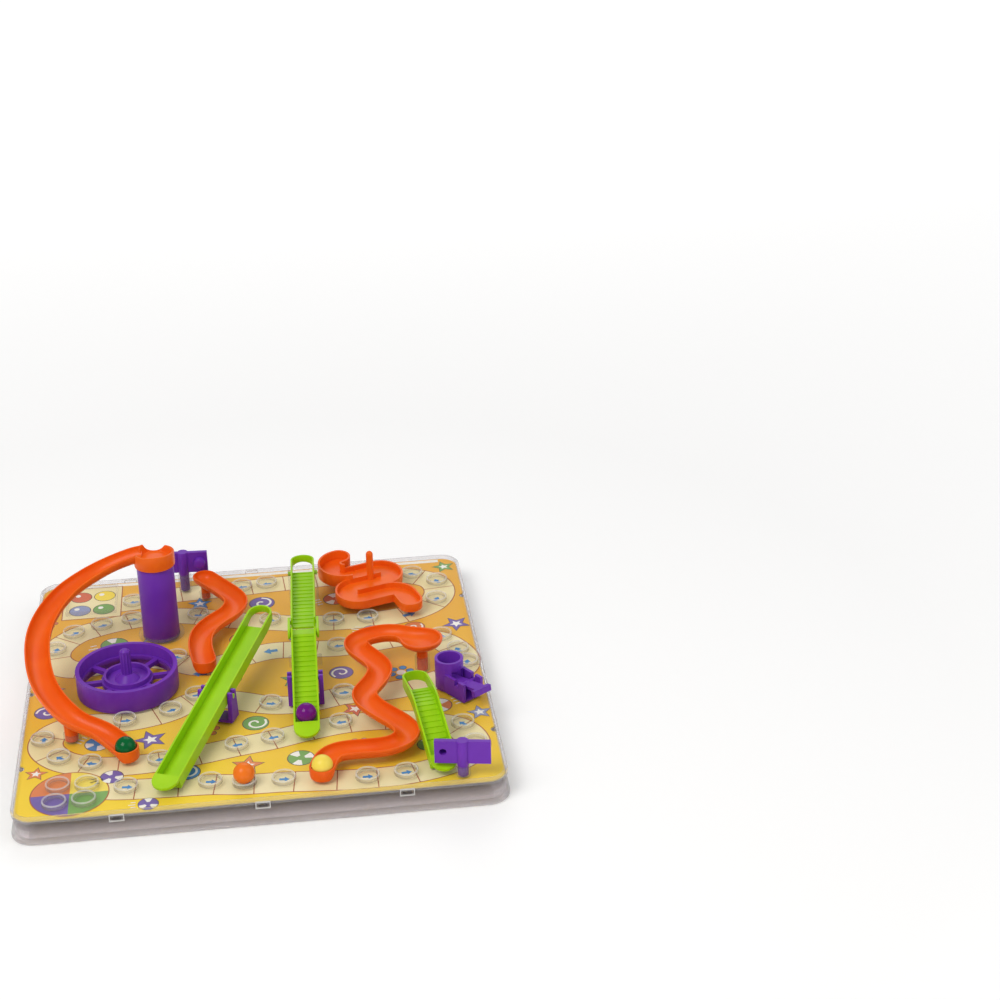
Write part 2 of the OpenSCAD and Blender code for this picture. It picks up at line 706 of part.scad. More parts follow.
module spinner_wheel() {
    floor_z = wheel_h - wheel_depth - wheel_floor;
    floor_r = wheel_d / 2 - wheel_wall;
    hub_r = hub_d / 2;
    hub_wall = 1.6;
    hub_top = floor_z + wheel_floor + 3;
    bore_r = wheel_pin_d / 2 + turn_gap;
    bore_top = wheel_pin_h + 0.3;
    dish_z = bore_top + 1.3;
    spindle_r = spindle_d / 2;
    cone_h = 4;
    rib_r = 0.5;
    color(purple) on_deck(wheel_at) translate([0, 0, wheel_gap]) {
        tube(wheel_d, 2 * floor_r, wheel_h);
        translate([0, 0, floor_z]) linear_extrude(wheel_floor) {
            difference() {
                circle(floor_r + wheel_wall / 2);
                circle(floor_r - 1.4);
            }
            difference() {
                circle(hub_r + 1.4);
                circle(hub_r - hub_wall / 2);
            }
            for (i = [0 : window_count - 1]) rotate(i * 360 / window_count + 6)
                translate([hub_r - hub_wall / 2, -spoke_w / 2])
                    square([floor_r - hub_r + hub_wall, spoke_w]);
        }
        rotate_extrude() polygon([[bore_r, 0], [bore_r + 2.4, 0], [bore_r + 2.4, floor_z], [hub_r, floor_z],
            [hub_r, hub_top], [hub_r - hub_wall, hub_top], [hub_r - hub_wall, dish_z],
            [spindle_r + 5, dish_z], [spindle_r + 1, dish_z + cone_h], [0, dish_z + cone_h],
            [0, bore_top], [bore_r, bore_top]]);
        translate([0, 0, dish_z + cone_h]) linear_extrude(spindle_h - cone_h - 1) {
            circle(spindle_r);
            for (i = [0 : rib_count - 1])
                rotate(i * 360 / rib_count) translate([spindle_r, 0]) circle(rib_r);
        }
        translate([0, 0, dish_z + spindle_h - 1]) cylinder(r1 = spindle_r, r2 = spindle_r - 1, h = 1);
    }
}

// Plan of a ladder between two tips, each end round or square
module ladder_plan(y0, y1, w, near_round, far_round) {
    near_y = near_round ? y0 + w / 2 : y0;
    far_y = far_round ? y1 - w / 2 : y1;
    translate([-w / 2, near_y]) square([w, far_y - near_y]);
    if (near_round) translate([0, near_y]) circle(w / 2);
    if (far_round) translate([0, far_y]) circle(w / 2);
}

// Plan of the round toe plate in front of a ladder's end wall at y0
module toe_plan(y0) {
    intersection() {
        ladder_plan(y0 - toe_len, y0 + end_wall / 2, ladder_w, true, false);
        translate([-ladder_w, y0 - 2 * toe_len]) square([2 * ladder_w, 2 * toe_len + end_wall / 2]);
    }
}

// Plan of the space inside a ladder, past its end wall and up to its loop
module ladder_space(y0, y1, toe, loop) {
    ladder_plan(toe ? y0 + end_wall : y0 - cut, loop ? y1 - ladder_wall : y1 + cut, ladder_in, false, loop);
}

// Plan of the open loop past a ladder's floor
module loop_space(y0, y1, toe) {
    intersection() {
        ladder_space(y0, y1, toe, true);
        translate([-ladder_w, y1 - loop_len]) square([2 * ladder_w, loop_len]);
    }
}

// Space under a loop whose underside rises from its floor's end to its tip, a and b being y and z there
module loop_wedge(a, b, lift) {
    deep = 3;
    translate([-ladder_w, 0, 0]) rotate([90, 0, 90]) linear_extrude(2 * ladder_w)
        polygon([a, b + [cut, lift], b + [cut, -deep], a - [0, deep]]);
}

// Straight ladder about its pivot axis, with or without a toe and a loop; no rungs if pitch is 0
module ladder(y0, y1, toe, loop, pitch) {
    floor_y1 = loop ? y1 - loop_len : y1;
    first = toe ? y0 + end_wall + marble_d + pitch : y0 + pitch;
    translate([0, 0, -axis_z]) {
        difference() {
            linear_extrude(ladder_h) ladder_plan(y0, y1, ladder_w, false, loop);
            translate([0, 0, ladder_floor]) linear_extrude(ladder_h) ladder_space(y0, y1, toe, loop);
            if (loop) translate([0, 0, -cut]) linear_extrude(ladder_h) loop_space(y0, y1, toe);
            if (loop) loop_wedge([floor_y1, 0], [y1, 0], loop_lift);
        }
        if (toe) translate([0, 0, ladder_h - toe_t])
            linear_extrude(toe_t) toe_plan(y0);
        if (pitch > 0) for (y = [first : pitch : floor_y1 - rung_w])
            translate([-ladder_in / 2 - ladder_wall / 2, y, ladder_floor - rung_h])
                cube([ladder_in + ladder_wall, rung_w, 2 * rung_h]);
    }
}

// Pair of pins on a ladder's walls, out to a given reach
module side_pins(d, reach) {
    for (side = [0, 1]) mirror([side, 0, 0]) translate([pin_root, 0, 0])
        rotate([0, 90, 0]) cylinder(d = d, h = reach - pin_root);
}

// Purple stand with two slotted posts
module fulcrum(axis_h) {
    foot_t = 1.6;
    post_pair(axis_h, post_foot, post_top, post_t);
    translate([-post_out, -post_foot / 2, 0]) cube([2 * post_out, post_foot, foot_t]);
}

module seesaw_fulcrum() {
    color(purple) on_deck(seesaw_at, seesaw_turn) fulcrum(pivot_h);
}

module seesaw_ladder() {
    color(lime) on_deck(seesaw_at, seesaw_turn) translate([0, 0, pivot_h]) rotate([seesaw_slope, 0, 0]) {
        ladder(-seesaw_near, seesaw_far, true, true, 0);
        side_pins(pivot_d, post_out);
    }
}

module ladder_fulcrum() {
    color(purple) on_deck(ladder_at, ladder_turn) fulcrum(pivot_h);
}

// Places a child in the lower ladder's frame, its origin on the pivot axis
module in_lower() {
    on_deck(ladder_at, ladder_turn) translate([0, 0, pivot_h]) rotate([lower_slope, 0, 0]) children();
}

module lower_ladder() {
    color(lime) in_lower() {
        ladder(-lower_near, lower_far + end_past_pin, true, false, rung_pitch);
        side_pins(pivot_d, post_out);
        translate([0, lower_far, 0]) side_pins(bridge_pin_d, post_in + bridge_plate);
    }
}

module ladder_bridge() {
    link_r = 3.5;
    hole_r = bridge_pin_d / 2 + turn_gap;
    slot_r = bridge_pin_d / 2 + 0.3;
    slot_back = 2;
    slot_on = 0.4;
    floor_y0 = 3.1;
    floor_y1 = bridge_reach - 4.3;
    color(lime) on_deck(ladder_at, ladder_turn) translate([0, lower_pin_y, bridge_z]) {
        for (side = [0, 1]) mirror([side, 0, 0]) translate([post_in, 0, 0]) rotate([90, 0, 90])
            linear_extrude(bridge_plate) difference() {
                union() {
                    circle(link_r);
                    translate([bridge_reach, 0]) circle(link_r);
                    translate([0, -link_r]) square([bridge_reach, 2 * link_r]);
                    translate([floor_y0, -axis_z]) square([floor_y1 - floor_y0, axis_z]);
                }
                circle(hole_r);
                translate([bridge_reach, 0]) {
                    translate([-slot_back, 0]) circle(slot_r);
                    translate([slot_on, 0]) circle(slot_r);
                    translate([-slot_back, -slot_r]) square([slot_back + slot_on, 2 * slot_r]);
                }
            }
        translate([-post_in - bridge_plate, floor_y0, -axis_z])
            cube([2 * post_in + 2 * bridge_plate, floor_y1 - floor_y0, ladder_floor]);
    }
}

module upper_ladder() {
    color(lime) on_deck(ladder_at, ladder_turn) translate([0, stand_reach, stand_h])
        rotate([-upper_slope, 0, 0]) {
            ladder(-upper_near - end_past_pin, upper_far, false, true, upper_pitch);
            side_pins(pivot_d, post_in + stand_t);
            translate([0, -upper_near, 0]) side_pins(bridge_pin_d, post_in + bridge_plate);
        }
}

// Underside of the short ladder, from its near tip over the bend to its far tip
bend_y = short_ramp + short_bend_r * sin(short_rise);
bend_z = short_ramp * tan(short_rise) - short_bend_r * cos(short_rise);
fall_y = bend_y + short_bend_r * sin(short_fall);
fall_z = bend_z + short_bend_r * cos(short_fall);
bend_steps = 7;
short_line = concat([[0, 0]],
    [for (i = [0 : bend_steps]) let (a = short_rise - (short_rise + short_fall) * i / bend_steps)
        [bend_y - short_bend_r * sin(a), bend_z + short_bend_r * cos(a)]],
    [[short_len, fall_z - (short_len - fall_y) * tan(short_fall)]]);

// Band over the short ladder's underside, between two heights
module short_band(z0, z1, w) {
    last = len(short_line) - 1;
    translate([-w / 2, 0, 0]) rotate([90, 0, 90]) linear_extrude(w) polygon(concat(
        [for (q = short_line) q + [0, z0]],
        [for (i = [last : -1 : 0]) short_line[i] + [0, z1]]));
}

module short_ladder() {
    tall = 3 * ladder_h + short_bend_r;
    leg_y = bend_y + 2;
    leg_h = bend_z + short_bend_r + ladder_floor / 2;
    floor_y1 = short_len - loop_len;
    first = end_wall + marble_d + rung_pitch;
    color(lime) on_deck(short_at, short_turn) {
        difference() {
            intersection() {
                short_band(0, ladder_h, ladder_w);
                linear_extrude(tall) ladder_plan(0, short_len, ladder_w, false, true);
            }
            intersection() {
                short_band(ladder_floor, 2 * ladder_h, ladder_w);
                linear_extrude(tall) ladder_space(0, short_len, true, true);
            }
            linear_extrude(tall) loop_space(0, short_len, true);
            loop_wedge([floor_y1, fall_z - (floor_y1 - fall_y) * tan(short_fall)],
                short_line[len(short_line) - 1], short_loop_lift);
        }
        translate([0, 0, ladder_h]) rotate([short_rise, 0, 0]) translate([0, 0, -toe_t])
            linear_extrude(toe_t) toe_plan(0);
        intersection() {
            short_band(ladder_floor - rung_h, ladder_floor + rung_h, ladder_in + ladder_wall);
            union() {
                for (y = [first : rung_pitch : floor_y1 - rung_w])
                    translate([-ladder_w / 2, y, 0]) cube([ladder_w, rung_w, tall]);
            }
        }
        translate([0, leg_y, 0]) cylinder(d = short_leg_d, h = leg_h);
    }
}

// Striker about its upright axis, from the top of its socket
module striker(socket_h) {
    foot_gap = 0.2;
    wing_z = 1.6;
    boss_x = wing_reach - boss_d / 2 - 1.3;
    boss_end = 1.2;
    translate([0, 0, foot_gap]) cylinder(d = stem_d, h = socket_h + wing_z);
    translate([0, 0, socket_h + foot_gap]) {
        cylinder(d = barrel_d, h = striker_h + wing_z + foot_gap);
        difference() {
            union() {
                translate([-wing_reach, -wing_t / 2, wing_z]) cube([2 * wing_reach, wing_t, striker_h]);
                translate([-boss_x, wing_t / 2 + boss_len, wing_z + striker_h / 2])
                    rotate([90, 0, 0]) cylinder(d = boss_d, h = boss_len + wing_t / 2);
            }
            translate([-boss_x, wing_t / 2 + boss_len - boss_end, wing_z + striker_h / 2])
                rotate([90, 0, 0]) cylinder(d = boss_bore, h = boss_len - boss_end + wing_t + cut);
        }
    }
}

module front_striker() {
    color(purple) on_deck(front_striker_at, front_striker_turn) striker(front_socket_h);
}

module rear_striker() {
    color(purple) on_deck(rear_striker_at, rear_striker_turn) striker(rear_socket_h);
}

module popper_housing() {
    tube_floor = 1.6;
    foot_t = 1.2;
    slot_r = axle_d / 2 + turn_gap;
    slot_w = lever_w + 1;
    slot_z = 2;
    slot_h = popper_plate_h - 0.5;
    plate_x = tube_d / 4;
    color(purple) on_deck(popper_at, popper_turn) {
        difference() {
            union() {
                cylinder(d = tube_d, h = tube_h);
                for (side = [0, 1]) mirror([0, side, 0])
                    translate([plate_x, popper_w / 2 - popper_plate, 0])
                        cube([popper_len - plate_x, popper_plate, popper_plate_h]);
                translate([plate_x, -popper_w / 2, 0]) cube([popper_len - plate_x, popper_w, foot_t]);
            }
            translate([0, 0, tube_floor]) cylinder(d = tube_d - 2 * tube_wall, h = tube_h);
            translate([0, -slot_w / 2, slot_z]) cube([tube_d / 2 + cut, slot_w, slot_h]);
            translate([lever_pivot_x, popper_w, lever_pivot_h])
                rotate([90, 0, 0]) cylinder(r = slot_r, h = 2 * popper_w);
            translate([lever_pivot_x - slot_r, -popper_w, lever_pivot_h])
                cube([2 * slot_r, 2 * popper_w, popper_plate_h]);
        }
    }
}

module popper_lever() {
    lip_len = 3;
    lip_down = 3;
    color(purple) on_deck(popper_at, popper_turn) translate([lever_pivot_x, 0, lever_pivot_h])
        rotate([0, -lever_tilt, 0]) {
            translate([0, popper_w / 2, 0]) rotate([90, 0, 0]) cylinder(d = axle_d, h = popper_w);
            translate([0, 0, -lever_t / 2]) linear_extrude(lever_t) {
                translate([lever_w / 2 - lever_in, -lever_w / 2])
                    square([lever_in + lever_out - lever_w / 2, lever_w]);
                translate([lever_w / 2 - lever_in, 0]) circle(lever_w / 2);
            }
            translate([lever_out - lip_len, -lip_w / 2, -lip_down])
                cube([lip_len, lip_w, lip_down + lever_t / 2]);
        }
}

// Marble resting at a plan place, h above the deck
module marble_at(at, h) {
    on_deck(at) translate([0, 0, h + marble_gap + marble_r]) sphere(d = marble_d);
}

module marble_green() {
    end = tower_route[len(tower_route) - 1];
    color("limegreen") marble_at(end, end[2] + snake_wall);
}

module marble_orange() {
    color("darkorange") marble_at(marble_cup, 0);
}

module marble_yellow() {
    end = spoon_route[len(spoon_route) - 1];
    color("gold") marble_at(end, end[2] + snake_wall);
}

module marble_purple() {
    rest = marble_r + marble_gap;
    color("indigo") in_lower() translate([0, end_wall - lower_near + rest, ladder_floor - axis_z + rest])
        sphere(d = marble_d);
}

base_tray();
top_cover();
game_card();
track_cups();
home_pen();
post_sockets();
tower_seat();
ladder_stands();
tower();
tower_snake();
zigzag_snake();
spoon_snake();
maze_snake();
spinner_wheel();
seesaw_fulcrum();
seesaw_ladder();
ladder_fulcrum();
lower_ladder();
ladder_bridge();
upper_ladder();
short_ladder();
front_striker();
rear_striker();
popper_housing();
popper_lever();
marble_green();
marble_orange();
marble_yellow();
marble_purple();
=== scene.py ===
# %% [markdown]
# Snakes and ladders board
#
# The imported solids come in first. They are the frame: every piece made here sits where its solid sits and
# rides on the same body. Plan places are in millimetres from the middle of the tray's underside, and
# heights are measured from the table. Blender works in metres, so MM turns one into the other.

# %% Load the frame
import math

import bpy
from mathutils import Matrix, Vector


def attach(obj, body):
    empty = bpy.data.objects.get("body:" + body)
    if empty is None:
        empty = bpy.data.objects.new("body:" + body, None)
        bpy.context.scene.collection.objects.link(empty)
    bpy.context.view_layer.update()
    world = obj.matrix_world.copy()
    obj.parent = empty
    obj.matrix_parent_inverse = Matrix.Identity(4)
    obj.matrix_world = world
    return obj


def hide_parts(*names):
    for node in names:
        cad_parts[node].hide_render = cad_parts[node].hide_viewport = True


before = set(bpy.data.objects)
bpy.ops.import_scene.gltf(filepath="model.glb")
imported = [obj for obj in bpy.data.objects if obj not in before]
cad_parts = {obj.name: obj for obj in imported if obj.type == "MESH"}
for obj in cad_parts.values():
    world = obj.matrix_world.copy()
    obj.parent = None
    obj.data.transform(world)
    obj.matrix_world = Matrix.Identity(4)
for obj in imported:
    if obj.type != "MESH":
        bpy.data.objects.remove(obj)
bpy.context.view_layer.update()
MM = 0.001
DECK = 17.2
CARD = 15.6

# %% [markdown]
# The camera stands where the photograph was taken from: a little right of the board's middle, about 1.2 m
# in front of it and 0.7 m up, with a long lens and a small tilt of the horizon. A constraint that tracks a
# target would keep the horizon level, so the camera's axes are worked out from its three angles instead.

# %% Camera
YAW, PITCH, ROLL = (math.radians(a) for a in (6.802, 25.797, -1.243))
CAMERA_AT = Vector((18.59, -1181.21, 703.17)) * MM
SENSOR_MM = 36
FOCAL_PX, PHOTO_PX = 2111.6, 1000
ahead = Vector((math.sin(YAW) * math.cos(PITCH), math.cos(YAW) * math.cos(PITCH), -math.sin(PITCH)))
level = Vector((math.cos(YAW), -math.sin(YAW), 0))
upright = level.cross(ahead)
right = math.cos(ROLL) * level + math.sin(ROLL) * upright
up = -math.sin(ROLL) * level + math.cos(ROLL) * upright
camera = bpy.data.objects.new("camera", bpy.data.cameras.new("camera"))
camera.data.sensor_width = SENSOR_MM
camera.data.sensor_fit = "HORIZONTAL"
camera.data.lens = SENSOR_MM * FOCAL_PX / PHOTO_PX
camera.matrix_world = Matrix((
    (right.x, up.x, -ahead.x, CAMERA_AT.x), (right.y, up.y, -ahead.y, CAMERA_AT.y),
    (right.z, up.z, -ahead.z, CAMERA_AT.z), (0, 0, 0, 1)))
bpy.context.collection.objects.link(camera)
bpy.context.scene.camera = camera
bpy.context.scene.view_settings.view_transform = "Standard"
print("lens", round(camera.data.lens, 1), "mm")

# %% [markdown]
# The floor is one wide white square. A curved backdrop would hide the horizon too, but it would have to
# turn with the view. The floor glows a little more away from the board, where the lamps don't reach, so
# that it stays white from every side.

# %% Floor
FLOOR_HALF, FLOOR_DROP = 6, 0.0002
GLOW_FROM, GLOW_TO, GLOW_NEAR, GLOW_FAR = 0.45, 2.4, 0.1, 0.58


def node_material(name):
    """New material with an empty node tree: the material, its tree and its output node."""
    mat = bpy.data.materials.new(name)
    mat.use_nodes = True
    tree = mat.node_tree
    tree.nodes.clear()
    return mat, tree, tree.nodes.new("ShaderNodeOutputMaterial")


def map_range(tree, value, *limits):
    """Map Range node on a value: the low and high that come in, then the low and high that go out."""
    node = tree.nodes.new("ShaderNodeMapRange")
    for socket, limit in zip(("From Min", "From Max", "To Min", "To Max"), limits):
        node.inputs[socket].default_value = limit
    tree.links.new(value, node.inputs["Value"])
    return node.outputs[0]


floor_mat, tree, out = node_material("floor_white")
shader = tree.nodes.new("ShaderNodeBsdfPrincipled")
shader.inputs["Base Color"].default_value = (0.97, 0.97, 0.97, 1)
shader.inputs["Roughness"].default_value = 0.7
shader.inputs["Emission Color"].default_value = (1, 1, 1, 1)
coord = tree.nodes.new("ShaderNodeTexCoord")
reach = tree.nodes.new("ShaderNodeVectorMath")
reach.operation = "LENGTH"
tree.links.new(coord.outputs["Object"], reach.inputs[0])
glow = map_range(tree, reach.outputs["Value"], GLOW_FROM, GLOW_TO, GLOW_NEAR, GLOW_FAR)
tree.links.new(glow, shader.inputs["Emission Strength"])
tree.links.new(shader.outputs[0], out.inputs[0])
floor_mesh = bpy.data.meshes.new("floor")
corners = [(FLOOR_HALF * x, FLOOR_HALF * y, 0) for x, y in ((-1, -1), (1, -1), (1, 1), (-1, 1))]
floor_mesh.from_pydata(corners, [], [(0, 1, 2, 3)])
floor_mesh.materials.append(floor_mat)
floor = bpy.data.objects.new("floor", floor_mesh)
floor.location.z = -FLOOR_DROP
bpy.context.collection.objects.link(floor)
print("floor", 2 * FLOOR_HALF, "m wide")

# %% [markdown]
# The sky is white for the camera and a quieter grey for the light that it sheds, so that the plastic keeps
# its depth of colour. One flat background would give either a grey picture or pale plastic. A Light Path
# node tells the kinds of ray apart, and each kind adds its own share to the strength.

# %% Sky
SKY_LEVEL = 0.42
SKY_GAINS = (("Is Camera Ray", 0.58), ("Is Transmission Ray", 0.4), ("Is Glossy Ray", -0.2))
world = bpy.data.worlds.new("studio")
world.use_nodes = True
bpy.context.scene.world = world
tree = world.node_tree
tree.nodes.clear()
sky = tree.nodes.new("ShaderNodeBackground")
sky.inputs["Color"].default_value = (1, 1, 1, 1)
rays = tree.nodes.new("ShaderNodeLightPath")
strength = None
for ray, gain in SKY_GAINS:
    term = tree.nodes.new("ShaderNodeMath")
    term.operation = "MULTIPLY_ADD"
    term.inputs[1].default_value = gain
    term.inputs[2].default_value = SKY_LEVEL
    tree.links.new(rays.outputs[ray], term.inputs[0])
    if strength:
        tree.links.new(strength, term.inputs[2])
    strength = term.outputs[0]
tree.links.new(strength, sky.inputs["Strength"])
tree.links.new(sky.outputs[0], tree.nodes.new("ShaderNodeOutputWorld").inputs[0])
print("sky terms", len(SKY_GAINS))

# %% [markdown]
# Soft light comes from three large square lamps: a warm one at the front left, a weak one at the right and
# one behind. Small lamps would give hard shadows and hot spots on the glossy plastic, which the photograph
# lacks.

# %% Lamps
LAMPS = (
    ("key", (-0.9, -0.9, 1.7), 1.1, 22, (1, 0.985, 0.96)), ("fill", (1.4, -0.6, 1.1), 1.4, 6, (1, 1, 1)),
    ("back", (0.2, 1.6, 1.3), 1.2, 6, (1, 1, 1)))
for name, at, size, watts, colour in LAMPS:
    light = bpy.data.lights.new(name, "AREA")
    light.size = size
    light.energy = watts
    light.color = colour
    ob = bpy.data.objects.new(name, light)
    ob.location = at
    ob.rotation_euler = (-Vector(at)).to_track_quat("-Z", "Y").to_euler()
    bpy.context.collection.objects.link(ob)
print("lamps", len(LAMPS))

# %% [markdown]
# No surface of a real board has one even tone. These helpers let colour and gloss wander with a noise
# texture and add a very fine bump. They read object coordinates, which need no unwrapping and stay with a
# moving piece.

# %% Surface helpers
def linear(hexa):
    """Colour of a six-digit hex code, as linear light."""
    vals = [int(hexa[i:i + 2], 16) / 255 for i in (0, 2, 4)]
    return tuple(v / 12.92 if v <= 0.04045 else ((v + 0.055) / 1.055) ** 2.4 for v in vals) + (1,)


def noise(tree, coord, scale, detail=2.0):
    """Noise value on object coordinates."""
    tex = tree.nodes.new("ShaderNodeTexNoise")
    tex.inputs["Scale"].default_value = scale
    tex.inputs["Detail"].default_value = detail
    tree.links.new(coord.outputs["Object"], tex.inputs["Vector"])
    return tex.outputs["Fac"]


def vary(tree, coord, scale, low, high):
    """Colour that wanders between two tones over the surface."""
    ramp = tree.nodes.new("ShaderNodeValToRGB")
    for element, place, tone in zip(ramp.color_ramp.elements, (0.3, 0.7), (low, high)):
        element.position = place
        element.color = tone
    tree.links.new(noise(tree, coord, scale), ramp.inputs["Fac"])
    return ramp.outputs[0]


def grain(tree, coord, shader, scale, depth):
    """Fine bump from noise."""
    bump = tree.nodes.new("ShaderNodeBump")
    bump.inputs["Strength"].default_value = 0.25
    bump.inputs["Distance"].default_value = depth
    tree.links.new(noise(tree, coord, scale, 3), bump.inputs["Height"])
    tree.links.new(bump.outputs["Normal"], shader.inputs["Normal"])


def gloss_range(tree, coord, shader, scale, low, high):
    """Roughness that wanders between two values."""
    rough = map_range(tree, noise(tree, coord, scale), 0, 1, low, high)
    tree.links.new(rough, shader.inputs["Roughness"])


print("surface helpers ready")

# %% [markdown]
# Snakes, ladders and the purple parts are moulded in solid colours with a satin gloss, and the marbles are
# glossier. One Principled shader does for all of them. A little subsurface light softens the thin walls.

# %% Moulded plastic
def plastic(name, low, high, rough, scatter=0.0):
    """Moulded opaque plastic between two tones."""
    mat, tree, out = node_material(name)
    shader = tree.nodes.new("ShaderNodeBsdfPrincipled")
    coord = tree.nodes.new("ShaderNodeTexCoord")
    tree.links.new(vary(tree, coord, 35, linear(low), linear(high)), shader.inputs["Base Color"])
    gloss_range(tree, coord, shader, 60, *rough)
    grain(tree, coord, shader, 1500, 0.00006)
    shader.inputs["IOR"].default_value = 1.45
    shader.inputs["Specular IOR Level"].default_value = 0.25
    shader.inputs["Subsurface Weight"].default_value = scatter
    shader.inputs["Subsurface Radius"].default_value = (0.004, 0.0015, 0.0006)
    shader.inputs["Subsurface Scale"].default_value = 1.0
    tree.links.new(shader.outputs[0], out.inputs[0])
    return mat


ORANGE = plastic("orange_plastic", "EE5C10", "F66C18", (0.24, 0.36), 0.06)
GREEN = plastic("green_plastic", "9CD00A", "AADC18", (0.26, 0.4), 0.06)
PURPLE = plastic("purple_plastic", "692CA8", "7534B6", (0.28, 0.42), 0.04)
MARBLES = {
    "marble_green": plastic("marble_green", "04522A", "086634", (0.08, 0.14)),
    "marble_orange": plastic("marble_orange", "F07218", "F7802A", (0.18, 0.26)),
    "marble_yellow": plastic("marble_yellow", "F7DA50", "FCE676", (0.18, 0.26)),
    "marble_purple": plastic("marble_purple", "6A1478", "7E1E8C", (0.1, 0.16))}
print("moulded plastics", 3 + len(MARBLES))

# %% [markdown]
# Tray, cover, cups and sockets are clear. Glass that bends light is the obvious choice, but with many thin
# walls it turns dark and noisy. Here most light goes straight through with a tint, and the rest meets a
# glossy skin. The tray's skin is painted dark under the cover and pale at its foot, as the wall looks in the
# photograph: this is painted shade from the shadowed inside of the tray.

# %% Clear plastic
WALL_FOOT, WALL_HEAD = 0.0045, 0.0145


def clear_plastic(name, tint, body, share, rough, bend=0.0, shade_gain=(1.0, 1.0)):
    """Clear plastic; shade_gain is painted shade, a gain on the skin's tone at the foot and at the head of
    the tray's wall.
    """
    mat, tree, out = node_material(name)
    skin = tree.nodes.new("ShaderNodeBsdfPrincipled")
    coord = tree.nodes.new("ShaderNodeTexCoord")
    low, high = [tuple(c * k for c in body) + (1,) for k in (0.96, 1.03)]
    axes = tree.nodes.new("ShaderNodeSeparateXYZ")
    tree.links.new(coord.outputs["Object"], axes.inputs[0])
    shade = tree.nodes.new("ShaderNodeVectorMath")
    shade.operation = "SCALE"
    tree.links.new(vary(tree, coord, 30, low, high), shade.inputs[0])
    tree.links.new(map_range(tree, axes.outputs["Z"], WALL_FOOT, WALL_HEAD, *shade_gain), shade.inputs["Scale"])
    tree.links.new(shade.outputs[0], skin.inputs["Base Color"])
    gloss_range(tree, coord, skin, 50, rough, rough + 0.1)
    skin.inputs["Transmission Weight"].default_value = bend
    skin.inputs["IOR"].default_value = 1.3
    veil = tree.nodes.new("ShaderNodeBsdfTransparent")
    veil.inputs["Color"].default_value = (*tint, 1)
    mix = tree.nodes.new("ShaderNodeMixShader")
    mix.inputs["Fac"].default_value = share
    tree.links.new(veil.outputs[0], mix.inputs[1])
    tree.links.new(skin.outputs[0], mix.inputs[2])
    tree.links.new(mix.outputs[0], out.inputs[0])
    return mat


PLATE = clear_plastic("clear_plate", (1, 1, 1), (0.9, 0.9, 0.9), 0.018, 0.06)
EDGE = clear_plastic("clear_edge", (0.94, 0.935, 0.94), (0.84, 0.835, 0.86), 0.5, 0.06, 0.72)
WALL = clear_plastic("clear_wall", (0.91, 0.895, 0.87), (0.88, 0.87, 0.84), 0.1, 0.1)
# Paler, more opaque skin on cup rims and clip frames: a painted highlight.
LIP = clear_plastic("clear_lip_highlight", (0.95, 0.94, 0.92), (0.96, 0.955, 0.93), 0.36, 0.08)
# Darker tinted heel at the foot of each cup: painted shade.
HEEL_SHADE = clear_plastic("clear_heel_shade", (0.78, 0.75, 0.7), (0.85, 0.84, 0.81), 0.08, 0.1)
# Tray skin with painted shade: darker towards the top, under the cover, and paler at its foot.
TRAY_TINT_AND_SHADE = clear_plastic("clear_tray_tint_and_shade", (0.94, 0.918, 0.935), (0.81, 0.772, 0.795), 0.56, 0.08, 0.6, (1.18, 0.1))
CLEAR = clear_plastic("clear_part", (0.945, 0.935, 0.93), (0.84, 0.83, 0.83), 0.06, 0.1)
print("clear plastics", 7)

# %% [markdown]
# The card is matt, with a faint grain and inks that are a little uneven. An image texture would be the
# common way to print it. Here each ink is a material of its own, and the card's yellow ground deepens
# towards the back.

# %% Card and inks
CARD_HALF = 0.142
GROUND_DRIFT = 0.5
GROUND_TONES = (("F8D40C", 0.0), ("F4C410", 0.3), ("EEB01C", 0.62), ("ECAE2C", 1.0))


def card_stock(name):
    """Matt card without a colour yet: its material, tree, texture place and shader."""
    mat, tree, out = node_material(name)
    shader = tree.nodes.new("ShaderNodeBsdfPrincipled")
    coord = tree.nodes.new("ShaderNodeTexCoord")
    gloss_range(tree, coord, shader, 90, 0.5, 0.65)
    grain(tree, coord, shader, 2500, 0.00003)
    tree.links.new(shader.outputs[0], out.inputs[0])
    return mat, tree, coord, shader


def ink(name, low, high):
    """Card printed in one ink."""
    mat, tree, coord, shader = card_stock(name)
    tree.links.new(vary(tree, coord, 25, linear(low), linear(high)), shader.inputs["Base Color"])
    return mat


def ground(name, tones):
    """Card whose yellow goes through tones from its front edge to its back edge, with a slow drift."""
    mat, tree, coord, shader = card_stock(name)
    axes = tree.nodes.new("ShaderNodeSeparateXYZ")
    tree.links.new(coord.outputs["Object"], axes.inputs[0])
    drift, shift = (tree.nodes.new("ShaderNodeMath") for _ in range(2))
    drift.operation, shift.operation = "MULTIPLY_ADD", "SUBTRACT"
    drift.inputs[1].default_value = GROUND_DRIFT
    shift.inputs[1].default_value = GROUND_DRIFT / 2
    ramp = tree.nodes.new("ShaderNodeValToRGB")
    while len(ramp.color_ramp.elements) < len(tones):
        ramp.color_ramp.elements.new(0.5)
    for element, (tone, place) in zip(ramp.color_ramp.elements, tones):
        element.position = place
        element.color = linear(tone)
    tree.links.new(noise(tree, coord, 18), drift.inputs[0])
    tree.links.new(map_range(tree, axes.outputs["Y"], -CARD_HALF, CARD_HALF, 0, 1), drift.inputs[2])
    tree.links.new(drift.outputs[0], shift.inputs[0])
    tree.links.new(shift.outputs[0], ramp.inputs["Fac"])
    tree.links.new(ramp.outputs[0], shader.inputs["Base Color"])
    return mat


